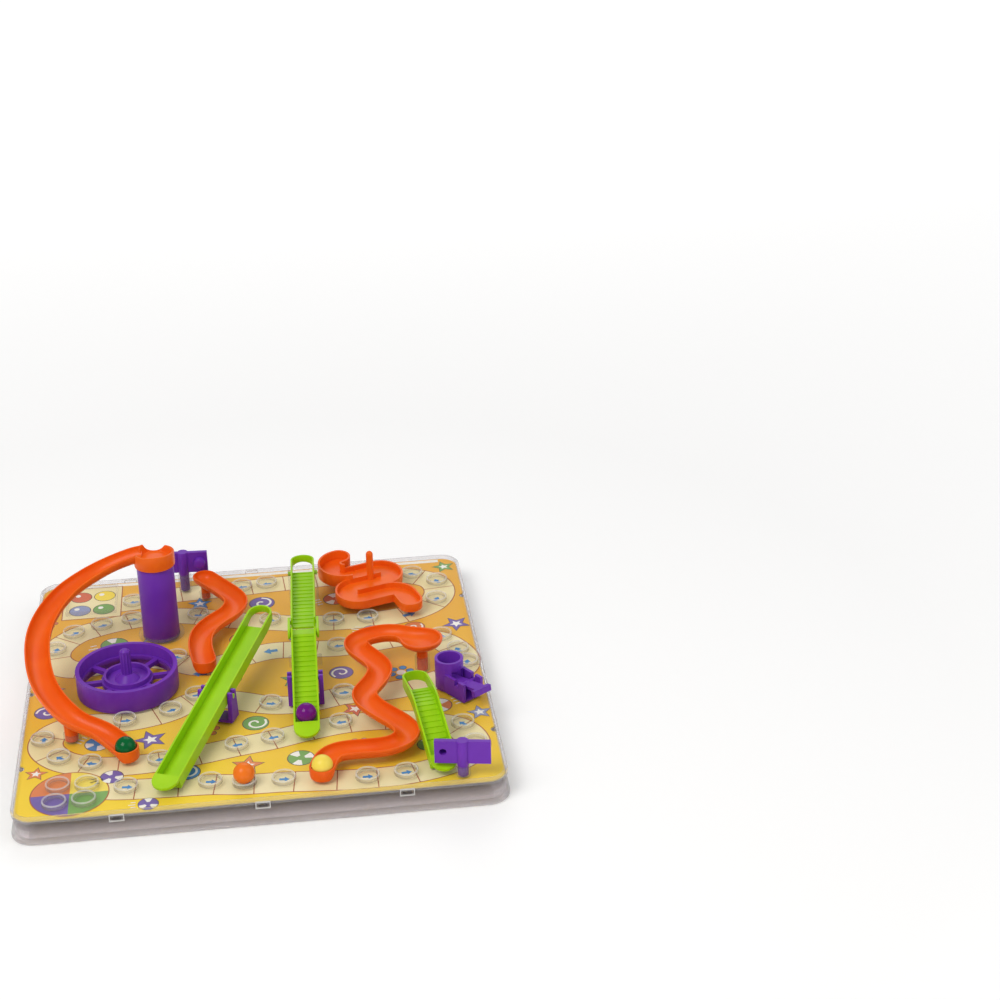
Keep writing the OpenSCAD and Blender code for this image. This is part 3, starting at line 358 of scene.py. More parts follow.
INKS = [ink(name, low, high) for name, low, high in (
    ("ink_cream", "EFDDA2", "F5E7B6"), ("ink_line", "A8522A", "B4602F"), ("ink_blue", "3E86C8", "4C94D2"),
    ("ink_orange", "DE7A3E", "E88A4C"), ("ink_yellow", "F4D63A", "F8E05A"),
    ("ink_purple", "6E58A4", "7C66B2"), ("ink_green", "6FA04C", "7FAE58"),
    ("ink_white", "F2EDE2", "FBF8F0"), ("ink_dark", "5A4A44", "6A5850"), ("ink_red", "D2603C", "DA6E48"),
    ("ink_slate", "8C93B8", "9AA2C4"), ("ink_pink", "D79AA0", "E0AAB0"))]
CREAM, LINE, BLUE, TAN, YELLOW, VIOLET, LEAF, WHITE, DARK, RED, SLATE, PINK = range(len(INKS))
GROUND = ground("card_yellow", GROUND_TONES)
print("inks", len(INKS))

# %% [markdown]
# Most pieces here are skins stretched through a row of rings. Blender can loft by bridging edge loops in
# edit mode, but a script that lists points and faces by itself is shorter and gives the same mesh on every
# run.

# %% Mesh builder
TURN_SIDES = 40


class Shape:
    """Grows lists of points, faces and material numbers, in millimetres."""

    def __init__(self):
        self.verts, self.faces, self.picks = [], [], []

    def add(self, verts, faces, pick=0):
        """Adds points and faces; pick is one material number, or a list with one for each face."""
        base = len(self.verts)
        self.verts += [tuple(v) for v in verts]
        self.faces += [tuple(base + i for i in f) for f in faces]
        self.picks += pick if isinstance(pick, list) else [pick] * len(faces)

    def loft(self, rings, pick=0, caps=True, loop=False, cap_pick=None):
        """Skin through closed rings of equal length, with flat caps or joined end to end."""
        n, count = len(rings[0]), len(rings)
        verts = [p for ring in rings for p in ring]
        spans = count if loop else count - 1
        faces = []
        for i in range(spans):
            near, far = i * n, (i + 1) % count * n
            faces += [(near + j, near + (j + 1) % n, far + (j + 1) % n, far + j) for j in range(n)]
        picks = [pick[i] if isinstance(pick, tuple) else pick for i in range(spans) for j in range(n)]
        if caps and not loop:
            faces.append(tuple(range(n - 1, -1, -1)))
            faces.append(tuple((count - 1) * n + j for j in range(n)))
            picks += [picks[0] if cap_pick is None else cap_pick] * 2
        self.add(verts, faces, picks)

    def turn(self, at, profile, pick=0, loop=False):
        """Body turned about an upright axis from a profile of radius and height."""
        turns = [2 * math.pi * k / TURN_SIDES for k in range(TURN_SIDES)]
        rings = [[(at[0] + r * math.cos(a), at[1] + r * math.sin(a), z) for a in turns] for r, z in profile]
        self.loft(rings, pick, True, loop)

    def build(self, name, mats):
        """Object with smooth shading that stays sharp at the hard edges."""
        mesh = bpy.data.meshes.new(name)
        mesh.from_pydata([(x * MM, y * MM, z * MM) for x, y, z in self.verts], [], self.faces)
        for mat in mats:
            mesh.materials.append(mat)
        mesh.polygons.foreach_set("material_index", self.picks)
        mesh.polygons.foreach_set("use_smooth", [True] * len(self.faces))
        mesh.update()
        mesh.set_sharp_from_angle(angle=math.radians(35))
        ob = bpy.data.objects.new(name, mesh)
        bpy.context.collection.objects.link(ob)
        return ob


def board_piece(shape, name, mats, slot, *nodes):
    """Finishes a piece that is fixed to the board and takes the place of its solids."""
    ob = shape.build(name, mats)
    if nodes:
        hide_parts(*nodes)
    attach(ob, "board")
    return ob


print("mesh builder ready")

# %% [markdown]
# Base tray: a shallow clear pan with a rounded foot bead. A cube with a bevel would need a second cut for
# the inside. Lofting through square rings with round corners gives the outside, the top edge and the
# inside in one skin, and each ring's width, corner and height can be read off the real wall. Small catches
# hold the clips.

# %% Base tray
CORNER_STEPS = 10
BASE_RINGS = (
    (288.4, 12.6, 0.0), (291.2, 13.6, 0.3), (292, 14, 1.0), (292, 14, 2.5), (291.2, 13.7, 3.2),
    (289, 12.6, 3.5), (287.7, 12.1, 3.9), (287.2, 11.9, 4.8), (287.2, 11.9, 14.8), (286.9, 11.7, 15),
    (284.3, 10.5, 15), (284, 10.3, 14.8), (284, 10.3, 3.4), (283.3, 10, 2.1), (281.8, 9.4, 1.6))
BEAD_SPANS = 6
CLIP_PITCH = 84
CLIPS = [(side, CLIP_PITCH * i) for side in (-1, 1) for i in (-1, 0, 1)]


def square_ring(w, r, z):
    """Outline of a square with round corners, w wide."""
    pts = []
    for k in range(4):
        cx = (w / 2 - r) * (1 if k in (0, 3) else -1)
        cy = (w / 2 - r) * (1 if k in (0, 1) else -1)
        for i in range(CORNER_STEPS + 1):
            a = math.radians(90 * k + 90 * i / CORNER_STEPS)
            pts.append((cx + r * math.cos(a), cy + r * math.sin(a), z))
    return pts


def frame_loop(x, y0, y1, z, half_w, half_h, side):
    """Four corners of an upright rectangle at two depths, outer face first."""
    corners = ((-1, -1), (1, -1), (1, 1), (-1, 1))
    return [[(x + side * a * half_w, side * y, z + b * half_h) for a, b in corners] for y in (y0, y1)]


shape = Shape()
picks = (1,) * BEAD_SPANS + (0,) * (len(BASE_RINGS) - 1 - BEAD_SPANS)
shape.loft([square_ring(*ring) for ring in BASE_RINGS], picks, cap_pick=0)
for side, x in CLIPS:
    front, rear = frame_loop(x, 145.6, 143.4, 13.4, 2.6, 0.55, -side)
    shape.loft([rear, front] if side < 0 else [front, rear])
board_piece(shape, "base_tray_shell", [TRAY_TINT_AND_SHADE, EDGE], "clear_plastic", "base_tray")
print("tray faces", len(shape.faces))

# %% [markdown]
# Cover: a clear plate with a raised edge and a short skirt over the tray, made by the same loft. The plate
# stands a little off the card, which leaves room for the print. Six thin frames at front and back are its
# clips.

# %% Cover
COVER_RINGS = (
    (287.8, 11.9, 15.9), (287.8, 11.9, 14.3), (288.2, 12.1, 14.2), (289.6, 12.8, 14.2), (290, 13, 14.5),
    (290, 13, 17.4), (289.7, 12.9, 18), (289, 12.6, 18.35), (287.6, 12, 18.4), (286.4, 11.4, 18.25),
    (285.8, 11.1, 17.8), (285.3, 10.9, 17.35), (284.4, 10.5, 17.2))
CLIP_OUT, CLIP_IN, CLIP_Z = 146.1, 145.1, 14.3
CLIP_HALF_W, CLIP_HALF_H, CLIP_BAR = 4.4, 2.3, 0.6
shape = Shape()
shape.loft([square_ring(*ring) for ring in COVER_RINGS], 1, cap_pick=0)
# The clip frames take the paler lip skin, a painted highlight.
for side, x in CLIPS:
    outer = frame_loop(x, CLIP_OUT, CLIP_IN, CLIP_Z, CLIP_HALF_W, CLIP_HALF_H, side)
    inner = frame_loop(x, CLIP_OUT, CLIP_IN, CLIP_Z, CLIP_HALF_W - CLIP_BAR, CLIP_HALF_H - CLIP_BAR, side)
    loops = [outer[0], outer[1], inner[1], inner[0]]
    shape.loft(loops if side < 0 else loops[::-1], 2, loop=True)
board_piece(shape, "top_cover_shell", [PLATE, EDGE, LIP], "clear_plastic", "top_cover")
print("cover clips", len(CLIPS))

# %% [markdown]
# Cups: one low clear ring for each place on the track, where a marble rests. A torus would be too round,
# so a profile with a rounded top edge is turned about each place. The rim is painted paler than the wall, a
# painted highlight, and the heel is painted darker, painted shade, because that is how light gathers in a
# clear ring.

# %% Cups
START_CUPS = [(-119, -112), (-102, -113), (-120, -130), (-103, -129)]
ROW_CUPS = [
    [(-79, -119), (-30, -121), (-10, -125), (13, -125), (62, -130), (85, -129), (129, -103)],
    [(124, -80), (50, -67), (8, -78), (-14, -83), (-60, -92), (-101, -90), (-120, -81), (-131, -59)],
    [(-82, -44), (-54, -36), (-38, -20), (8, -38), (54, -32), (135, -6)],
    [(131, 11), (122, 31), (54, 28), (-51, 30), (-130, 52)],
    [(-119, 73), (-101, 81), (-81, 86), (-37, 85), (11, 70), (53, 63), (76, 63)],
    [(124, 82), (127, 108), (111, 121), (10, 123), (-7, 121), (-81, 111)]]
TRACK_CUPS = [at for row in ROW_CUPS for at in row]
CUP_PROFILE = [
    (5.8, 0.02), (7.35, 0.02), (7.3, 2.3), (7.14, 2.75), (6.85, 3), (6.5, 3), (6.2, 2.75), (6.05, 2.3)]
CUP_PICKS = (2, 0, 1, 1, 1, 1, 1, 0)
shape = Shape()
for at in START_CUPS + TRACK_CUPS:
    shape.turn(at, [(r, DECK + z) for r, z in CUP_PROFILE], CUP_PICKS, True)
board_piece(shape, "cup_rings", [WALL, LIP, HEEL_SHADE], "clear_plastic", "track_cups")
print("cups", len(START_CUPS + TRACK_CUPS))

# %% [markdown]
# The snakes and the track all follow curves. Blender's own curve objects could be converted to meshes, but
# plain functions let the same curve serve for a channel, a band of print or a row of arrows.

# %% Curves in plan
def spot(at, turn, x, y):
    """Plan place of a point given in a turned part's own axes."""
    a = math.radians(turn)
    return at[0] + x * math.cos(a) - y * math.sin(a), at[1] + x * math.sin(a) + y * math.cos(a)


def spline(p, q, r, w, t):
    """Value between q and r on a smooth curve through four values."""
    bend = (2 * p - 5 * q + 4 * r - w) * t * t
    twist = (3 * q - p - 3 * r + w) * t ** 3
    return 0.5 * (2 * q + (r - p) * t + bend + twist)


def smooth_route(route, steps):
    """Smooth curve through a route's points, of any number of coordinates."""
    last = len(route) - 1
    pts = []
    for i in range(last):
        b, c = route[i], route[i + 1]
        a = route[i - 1] if i > 0 else [2 * p - q for p, q in zip(b, c)]
        d = route[i + 2] if i + 2 <= last else [2 * q - p for p, q in zip(b, c)]
        for s in range(steps):
            t = s / steps
            pts.append(tuple(spline(*values, t) for values in zip(a, b, c, d)))
    return pts + [tuple(route[last])]


def blur(path, passes):
    """Evens out a close-set path and keeps its ends."""
    for _ in range(passes):
        trios = zip(path, path[1:], path[2:])
        inner = [tuple((a + 2 * b + c) / 4 for a, b, c in zip(*trio)) for trio in trios]
        path = [path[0]] + inner + [path[-1]]
    return path


def ease(path, passes):
    """Rounds the bends of a path and gives back most of the width that this takes from them."""
    soft = blur(path, passes)
    lost = blur([tuple(a - b for a, b in zip(p, q)) for p, q in zip(path, soft)], passes)
    return [tuple(a + b for a, b in zip(p, q)) for p, q in zip(soft, lost)]


def walk(route):
    """Points of a plan curve with the direction and the length reached at each."""
    done, out = 0, []
    for i, p in enumerate(route):
        a, b = route[max(i - 1, 0)], route[min(i + 1, len(route) - 1)]
        way = Vector((b[0] - a[0], b[1] - a[1])).normalized()
        if i:
            done += math.dist(p, route[i - 1])
        out.append((Vector(p), way, done))
    return out


print("curve helpers ready")

# %% [markdown]
# Print is made of flat patches that lie a hair above the card, each kind on its own level so that none
# flicker. They could be painted in the card's material, but real outlines stay sharp at any distance.

# %% Flat print
LEVEL = [CARD + 0.02 * k for k in range(1, 10)]


def side_of(way):
    """Direction to the left of a plan direction."""
    return Vector((-way.y, way.x))


def band(shape, steps, low, high, z, pick):
    """Flat band along a walked curve, between two offsets from its middle."""
    verts = []
    for p, way, _ in steps:
        s = side_of(way)
        verts += [(*(p + s * low), z), (*(p + s * high), z)]
    faces = [(2 * i, 2 * i + 2, 2 * i + 3, 2 * i + 1) for i in range(len(steps) - 1)]
    shape.add(verts, faces, pick)


def patch(shape, at, outline, z, pick, turn=0.0, size=1.0):
    """Flat patch from an outline about its own middle."""
    pts = [spot(at, turn, x * size, y * size) for x, y in outline]
    shape.add([(x, y, z) for x, y in pts], [tuple(range(len(pts)))], pick)


def round_outline(r, n=40, start=0.0, sweep=360.0):
    """Circle, or an arc of it with both ends."""
    stop = n if sweep >= 360 else n + 1
    angles = [math.radians(start + sweep * k / n) for k in range(stop)]
    return [(r * math.cos(a), r * math.sin(a)) for a in angles]


def star_outline(outer, inner):
    """Star with five points."""
    spokes = [(outer if k % 2 == 0 else inner, math.pi * k / 5) for k in range(10)]
    return [(r * math.cos(a), r * math.sin(a)) for r, a in spokes]


def box_outline(half_x, half_y):
    """Rectangle about its middle."""
    return [(-half_x, -half_y), (half_x, -half_y), (half_x, half_y), (-half_x, half_y)]


print("print levels", len(LEVEL))

# %% [markdown]
# A cream track winds from the start disc at the front left up to the home panel at the back left. It has
# thin red-brown edges, a divider every 23.5 mm and small blue arrows under the cups. One list of places
# gives its course, and the edges, dividers and arrows are all worked out from that.

# %% Track
TRACK = [
    (-91, -117), (-79, -119), (-55, -120.5), (-30, -121.5), (-10, -124.5), (13, -125.5), (38, -128),
    (62, -129.5), (85, -128.5), (106, -123.5), (122, -114), (128, -100), (123, -84), (109, -74), (90, -68),
    (70, -66), (50, -67), (28, -72), (8, -78), (-14, -82.5), (-37, -88), (-60, -92), (-82, -93),
    (-101, -90.5), (-119, -81.5), (-129, -66), (-126, -50), (-109, -41), (-82, -43), (-66, -40),
    (-54, -35), (-38, -24), (-16, -27), (8, -37), (30, -38.5), (54, -33), (80, -32), (106, -26),
    (127, -15), (133.5, -2), (130, 14), (119, 29), (98, 34), (77, 31), (54, 28), (32, 30), (10, 31),
    (-12, 24), (-34, 17), (-53, 27), (-77, 34), (-101, 28), (-119, 28), (-129.5, 40), (-129, 56),
    (-118, 72), (-101, 81), (-81, 87), (-58, 90), (-37, 86), (-14, 77), (11, 70), (32, 65), (53, 63),
    (76, 63), (100, 66), (119, 77), (127.5, 94), (124, 111), (109, 121), (88, 126), (60, 126.5), (35, 125),
    (10, 123.5), (-7, 122), (-30, 121), (-55, 119), (-81, 113), (-93, 112)]
HALF_TRACK, FIRST_LINE, CELL = 10.6, 16.0, 23.5
HALF_EDGE, HALF_DIVIDER = 0.35, 0.32
ARROW = [(-3.6, -1.3), (0.2, -1.3), (0.2, -3), (3.8, 0), (0.2, 3), (0.2, 1.3), (-3.6, 1.3)]
CUP_ARROW, LONE_ARROW = 0.85, 1.25
LONE_ARROWS = ((10, 31), (-36, 9), (104, 66), (-58, -120))
CUP_SHIFT = (0.3, 2.4)
steps = walk(smooth_route(TRACK, 8))


def track_turn(at):
    """Direction of the track nearest to a place, in degrees."""
    near = min(steps, key=lambda s: (s[0] - Vector(at)).length)
    return math.degrees(math.atan2(near[1].y, near[1].x))


shape = Shape()
band(shape, steps, -HALF_TRACK, HALF_TRACK, LEVEL[0], CREAM)
for edge in (-HALF_TRACK, HALF_TRACK):
    band(shape, steps, edge - HALF_EDGE, edge + HALF_EDGE, LEVEL[1], LINE)
next_line = FIRST_LINE
for p, way, done in steps:
    if done >= next_line:
        next_line += CELL
        across, along = side_of(way) * HALF_TRACK, way * HALF_DIVIDER
        corners = [p + across * a + along * b for a, b in ((-1, -1), (-1, 1), (1, 1), (1, -1))]
        shape.add([(c.x, c.y, LEVEL[1]) for c in corners], [(0, 1, 2, 3)], LINE)
for at in TRACK_CUPS:
    under_cup = (at[0] + CUP_SHIFT[0], at[1] + CUP_SHIFT[1])
    patch(shape, under_cup, ARROW, LEVEL[2], BLUE, track_turn(at), CUP_ARROW)
for at in LONE_ARROWS:
    patch(shape, at, ARROW, LEVEL[2], BLUE, track_turn(at), LONE_ARROW)
print("track", round(steps[-1][2]), "mm long")

# %% [markdown]
# The start disc has four coloured quarters, one for each player's marble, and the home panel has four
# coloured discs. Each is a darker patch with a slightly smaller one on top, which leaves an even outline.

# %% Start disc and home panel
START, START_R, START_LINE = (-112, -118.5), 22.5, 0.7
patch(shape, START, round_outline(START_R + START_LINE, 64), LEVEL[3], LINE)
for tone, first in ((YELLOW, 0), (TAN, 90), (VIOLET, 180), (LEAF, 270)):
    patch(shape, START, [(0, 0)] + round_outline(START_R, 16, first, 90), LEVEL[4], tone)
HOME, HOME_HALF, HOME_LINE = (-109, 117), (20, 22), 0.7
HOME_DISCS = ((RED, (-117, 126)), (YELLOW, (-101, 126)), (SLATE, (-117, 107)), (LEAF, (-101, 107)))
patch(shape, HOME, box_outline(*HOME_HALF), LEVEL[3], LINE)
patch(shape, HOME, box_outline(*[half - HOME_LINE for half in HOME_HALF]), LEVEL[4], CREAM)
for tone, at in HOME_DISCS:
    patch(shape, at, round_outline(7.4), LEVEL[5], DARK)
    patch(shape, at, round_outline(6.9), LEVEL[6], tone)
    patch(shape, (at[0] - 2.2, at[1] + 2.4), round_outline(1.8, 20), LEVEL[7], WHITE)
print("home discs", len(HOME_DISCS))

# %% [markdown]
# Small motifs fill the ground between the rows of the track: stars, swirls, balls with speed lines and
# rings of dots. Each motif is a short function of place, size, ink and turn, so that a list can scatter
# them.

# %% Stars, swirls, balls and dots
def star(at, size, tone, turn):
    """Five-pointed star with a dark outline and a white heart."""
    for level, outer, inner, pick in ((3, 10.6, 4.9, DARK), (4, 9.6, 4.4, tone), (5, 4.6, 2.1, WHITE)):
        patch(shape, at, star_outline(outer, inner), LEVEL[level], pick, turn, size)


def disc(at, size, tone):
    """Round ground of a swirl or a ball, with a dark outline."""
    patch(shape, at, round_outline(8.8 * size), LEVEL[3], DARK)
    patch(shape, at, round_outline(8.2 * size), LEVEL[4], tone)


def swirl(at, size, tone, turn):
    """Disc with a white coil."""
    disc(at, size, tone)
    coil = []
    for k in range(12):
        r, a = size * (1.2 + 0.55 * k), 0.62 * k
        coil.append(spot(at, turn, r * math.cos(a), r * math.sin(a)))
    band(shape, walk(smooth_route(coil, 4)), -0.75 * size, 0.75 * size, LEVEL[5], WHITE)


def ball(at, size, tone, turn):
    """Disc with three white wedges, and three speed lines behind it."""
    disc(at, size, tone)
    for a in (-38, 90, 218):
        patch(shape, at, [(0, 0)] + round_outline(8.2, 10, a - 24, 48), LEVEL[5], WHITE, turn, size)
    patch(shape, at, round_outline(2.6 * size), LEVEL[6], tone)
    for k in (-1, 0, 1):
        head, tail = -10.5, -16.5 + abs(k) * 2
        low, high = 3.6 * k - 0.5, 3.6 * k + 0.5
        patch(shape, at, [(tail, low), (head, low), (head, high), (tail, high)], LEVEL[4], WHITE, turn, size)


def dots(at, size, tone, turn):
    """Six dots round a white one."""
    for k in range(6):
        a = math.radians(60 * k)
        place = spot(at, turn, 6.4 * size * math.cos(a), 6.4 * size * math.sin(a))
        patch(shape, place, round_outline(2.7 * size, 24), LEVEL[3], DARK)
        patch(shape, place, round_outline(2.3 * size, 24), LEVEL[4], tone)
    patch(shape, at, round_outline(3.2 * size, 24), LEVEL[4], WHITE)


MOTIFS = [
    (ball, (-88, -104), 0.8, VIOLET, 20), (star, (-133, -94), 0.7, TAN, 10),
    (swirl, (-44, -106), 0.95, BLUE, 40), (star, (-8, -104), 1.0, TAN, 80),
    (ball, (24, -101), 0.95, LEAF, 160), (dots, (60, -92), 0.9, PINK, 0),
    (swirl, (101, -98), 0.8, LEAF, 100), (ball, (-98, -66), 0.9, BLUE, -30),
    (star, (-66, -66), 1.05, VIOLET, 35), (dots, (-32, -60), 0.9, TAN, 10),
    (swirl, (-2, -57), 0.95, LEAF, 0), (star, (60, -50), 0.9, RED, 60), (ball, (112, -54), 0.95, TAN, 200),
    (star, (136, -66), 0.8, SLATE, 25), (swirl, (-131, -24), 0.9, VIOLET, 150),
    (ball, (-18, 0), 1.0, TAN, 30), (star, (24, -8), 0.95, LEAF, 12), (swirl, (54, -4), 0.9, VIOLET, 200),
    (dots, (92, -10), 0.95, BLUE, 15), (star, (-128, 4), 0.7, PINK, 70), (ball, (-92, 56), 1.05, LEAF, 15),
    (star, (-66, 62), 0.9, SLATE, 0), (swirl, (-8, 50), 1.0, TAN, 75), (dots, (30, 47), 0.9, VIOLET, 20),
    (ball, (78, 47), 0.9, SLATE, -20), (star, (134, 48), 0.95, VIOLET, 48),
    (swirl, (106, 48), 0.8, TAN, 10), (star, (-36, 104), 0.85, BLUE, 20),
    (swirl, (6, 98), 1.0, VIOLET, 60), (ball, (56, 96), 0.95, RED, 15), (dots, (100, 96), 0.9, LEAF, 0),
    (star, (134, 131), 0.8, LEAF, 30), (ball, (-62, 104), 0.75, SLATE, 0), (dots, (-137, 92), 0.7, RED, 0),
    (ball, (-66, -136), 0.7, VIOLET, 0), (star, (30, 9), 0.7, PINK, 33)]
BACK_STRIP = [(-131, 138.6), (131, 138.6), (131, 142.3), (-131, 142.3)]
for draw, at, size, tone, turn in MOTIFS:
    draw(at, size, tone, turn)
patch(shape, (0, 0), BACK_STRIP, LEVEL[2], WHITE)
board_piece(shape, "card_print", INKS, "printed_card")
print("print patches", len(shape.faces), "motifs", len(MOTIFS))

# %% [markdown]
# The snakes are open channels with rounded rims, and each low end is a small cup with an upright wall. A
# curve with a bevel profile can sweep such a section, but it tips over on slopes and can't end in a cup.
# Here the section stays upright along the path, and the ends are fans of the same half section.

# %% Channels
SNAKE_W, SNAKE_WALL, CUP_EDGE = 15.8, 1.1, 1.6
ARCS, CAPS = 10, 16


def half_section(depth):
    """Half of a channel's section: floor, inner wall, round rim, outer wall, underside."""
    inner, outer = SNAKE_W / 2 - SNAKE_WALL, SNAKE_W / 2
    bowl = min(inner, depth - SNAKE_WALL - 1)
    turns = [math.pi / 2 * k / ARCS for k in range(ARCS + 1)]
    rim = [(inner, depth - 0.45), (inner + 0.12, depth - 0.14), (inner + 0.4, depth), (outer - 0.4, depth),
           (outer - 0.12, depth - 0.14), (outer, depth - 0.45)]
    floor_arc = [(inner * math.sin(a), SNAKE_WALL + bowl * (1 - math.cos(a))) for a in turns]
    under_arc = [(outer * math.sin(a), (bowl + SNAKE_WALL) * (1 - math.cos(a))) for a in reversed(turns)]
    return floor_arc + rim + under_arc


def cup_section(depth):
    """The same half with an upright outer wall, for the cup at the low end."""
    cup = half_section(depth)
    for j in range(len(cup) - ARCS - 1, len(cup) - 1):
        a = math.pi / 2 * (len(cup) - 1 - j) / ARCS
        cup[j] = (SNAKE_W / 2 - CUP_EDGE + CUP_EDGE * math.sin(a), CUP_EDGE * (1 - math.cos(a)))
    return cup


def end_fan(shape, at, way, end, wide, half, cup):
    """Round end of a channel; end is 0 at its start and 1 at its low end, which turns into a cup."""
    left, out_way = Vector((-way.y, way.x, 0)), way * (2 * end - 1)
    fan = []
    for k in range(CAPS + 1):
        a = math.pi * k / CAPS
        mix = end * min(1, 1.6 * math.sin(a))
        fan.append([Vector(at) + Vector((0, 0, DECK + h[1] + (c[1] - h[1]) * mix))
                    + (left * math.cos(a) + out_way * math.sin(a)) * (h[0] + (c[0] - h[0]) * mix) * wide
                    for h, c in zip(half, cup)])
    m = len(half)
    faces = [(k * m + j, k * m + j + 1, (k + 1) * m + j + 1, (k + 1) * m + j)
             for k in range(CAPS) for j in range(m - 1)]
    shape.add([v for ring in fan for v in ring], faces if end else [f[::-1] for f in faces])


def channel(shape, path, depth, wides, ends=(0, 1)):
    """Sweeps the section along a path; wides scales its width at each point."""
    half, cup = half_section(depth), cup_section(depth)
    loop = half + [(-x, z) for x, z in half[-2:0:-1]]
    ways = []
    for i in range(len(path)):
        a, b = path[max(i - 1, 0)], path[min(i + 1, len(path) - 1)]
        ways.append(Vector((b[0] - a[0], b[1] - a[1], 0)).normalized())
    rings = []
    for p, way, k in zip(path, ways, wides):
        left = Vector((-way.y, way.x, 0))
        rings.append([Vector(p) + left * x * k + Vector((0, 0, z + DECK)) for x, z in loop])
    shape.loft(rings, caps=False)
    for end in ends:
        end_fan(shape, path[-end], ways[-end], end, wides[-end], half, cup)


def post(shape, at, r, top):
    """Round post from the deck up into a channel, with a small chamfer at its foot."""
    shape.turn(at, [(r - 0.3, DECK + 0.05), (r, DECK + 0.35), (r, DECK + top)])


def snake_piece(shape, name, node):
    """Finishes a snake and welds its ends to its channel."""
    ob = board_piece(shape, name, [ORANGE], "orange_plastic", node)
    weld = ob.modifiers.new("weld", "WELD")
    weld.merge_threshold = 1e-5


print("section points", len(half_section(8)))

# %% [markdown]
# Tower snake: a bowl sits on the purple tower and a long channel swings down to the left. The bowl's edge
# rises and falls, with a scoop behind and a way out at the side. Boolean cuts would leave hard corners
# there, so a function gives the edge's height all the way round and a skin is drawn through the columns
# below it.

# %% Tower snake
TOWER_AT, TOWER_H, TOWER_DEPTH = (-61, 63), 52.4, 8
BOWL_R, BOWL_IN, BOWL_H, BOWL_FLOOR = 13.2, 11.8, 10.6, 55.3
BOWL_TILT, BOWL_LEFT, BOWL_EXIT, BOWL_SIDES = 6, 62.3, 55.4, 180
SCOOP_R, EXIT_HALF, CHANNEL_START = 7.6, 6.1, 8.4
TOWER_ROUTE = [
    (-61, 63, 54.2), (-75, 65.5, 53), (-99, 62, 45), (-121.5, 44, 37.4), (-134, 10, 29.4), (-130, -33, 20),
    (-113, -61, 11), (-94, -72, 5), (-79.5, -88, 0.8)]
exit_way = Vector((-14, 2.5)).normalized()


def soft_min(a, b, k):
    """Smaller of two values, with a round change from one to the other."""
    h = max(k - abs(a - b), 0) / k
    return min(a, b) - h * h * k / 4


def bowl_top(x, y):
    """Height of the bowl's edge: sloped to the back, with a scoop behind and the way out to the left."""
    top = TOWER_H + BOWL_H - (y + BOWL_R) * math.tan(math.radians(BOWL_TILT))
    lift = min(max((-x - 2) / 7, 0), 1)
    top += (BOWL_LEFT - top) * lift * lift * (3 - 2 * lift)
    if y > 0:
        dip = TOWER_H + BOWL_H + 0.6 - math.sqrt(max(SCOOP_R ** 2 - min(abs(x), SCOOP_R) ** 2, 0))
        top = soft_min(top, dip + max(abs(x) - 7.4, 0) * 6, 1.6)
    along, across = x * exit_way.x + y * exit_way.y, abs(-x * exit_way.y + y * exit_way.x)
    if along > 0:
        top = soft_min(top, BOWL_EXIT + max(across - EXIT_HALF, 0) * 7, 2.4)
    return top


def bowl_profile(top):
    """Radius and height from the bowl's foot up its outside, over its edge and down to its floor."""
    foot = [(8, 0.05), (12.7, 0.05), (13.1, 0.2), (BOWL_R, 0.6)]
    edge = [(BOWL_R, 0.5), (13.07, 0.15), (12.75, 0), (12.25, 0), (11.93, 0.15), (BOWL_IN, 0.5)]
    basin = [(BOWL_IN, min(BOWL_FLOOR + 1.8, top - 0.5)), (11.3, min(BOWL_FLOOR + 0.7, top)),
             (10.3, BOWL_FLOOR + 0.12), (9, BOWL_FLOOR)]
    return [(r, TOWER_H + z) for r, z in foot] + [(r, top - z) for r, z in edge] + basin


path = ease(smooth_route(TOWER_ROUTE, 16), 30)
path = [p for p in path if math.dist(p[:2], TOWER_AT) > CHANNEL_START]
shape = Shape()
channel(shape, path, TOWER_DEPTH, [1] * len(path), (1,))
columns = []
for k in range(BOWL_SIDES):
    c, s = math.cos(2 * math.pi * k / BOWL_SIDES), math.sin(2 * math.pi * k / BOWL_SIDES)
    profile = bowl_profile(bowl_top(BOWL_R * c, BOWL_R * s))
    columns.append([(TOWER_AT[0] + r * c, TOWER_AT[1] + r * s, DECK + z) for r, z in profile])
shape.loft([list(ring) for ring in zip(*columns)])
post(shape, (-113.4, -60.6), 4, 10.9)
snake_piece(shape, "tower_snake_skin", "tower_snake")
print("tower snake points", len(shape.verts))

# %% [markdown]
# Zigzag and spoon snakes: two lower channels, each on a post. The spoon's high end widens into a round
# dish, which is the same section scaled in width along the first part of its path. A separate bowl would
# show a seam there.

# %% Zigzag and spoon snakes
LOW_DEPTH = 7.6
ZIGZAG_ROUTE = [
    (-31.5, 109.5, 9.6), (-22, 96.8, 8.6), (-14.6, 87, 7.4), (-10.8, 76.7, 6.2), (-15, 66.2, 5),
    (-22.8, 59, 4.1), (-30.6, 49.8, 3.1), (-34.6, 38.2, 2.1), (-34.7, 24.5, 1.2), (-32.8, 12, 0.4)]
SPOON_ROUTE = [
    (106, -10, 15.5), (91, 5, 14.2), (74, 5, 13.2), (63.3, -4, 12.4), (72.5, -20, 11), (78, -34, 10),
    (71, -50, 8.8), (65, -61, 8), (73, -76, 6.4), (84.4, -88.5, 4.6), (88.6, -101, 3.4), (78, -111.5, 2.8),
    (58, -110.5, 2), (42.5, -112, 1.2), (36, -126, 0.4)]
DISH_W, DISH_STEPS, SPOON_STEPS = 27, 0.8, 16
path = ease(smooth_route(ZIGZAG_ROUTE, 12), 40)
shape = Shape()
channel(shape, path, LOW_DEPTH, [1] * len(path))
post(shape, ZIGZAG_ROUTE[0], 3, 10)
snake_piece(shape, "zigzag_snake_skin", "zigzag_snake")
path = ease(smooth_route(SPOON_ROUTE, SPOON_STEPS), 150)
wides = []
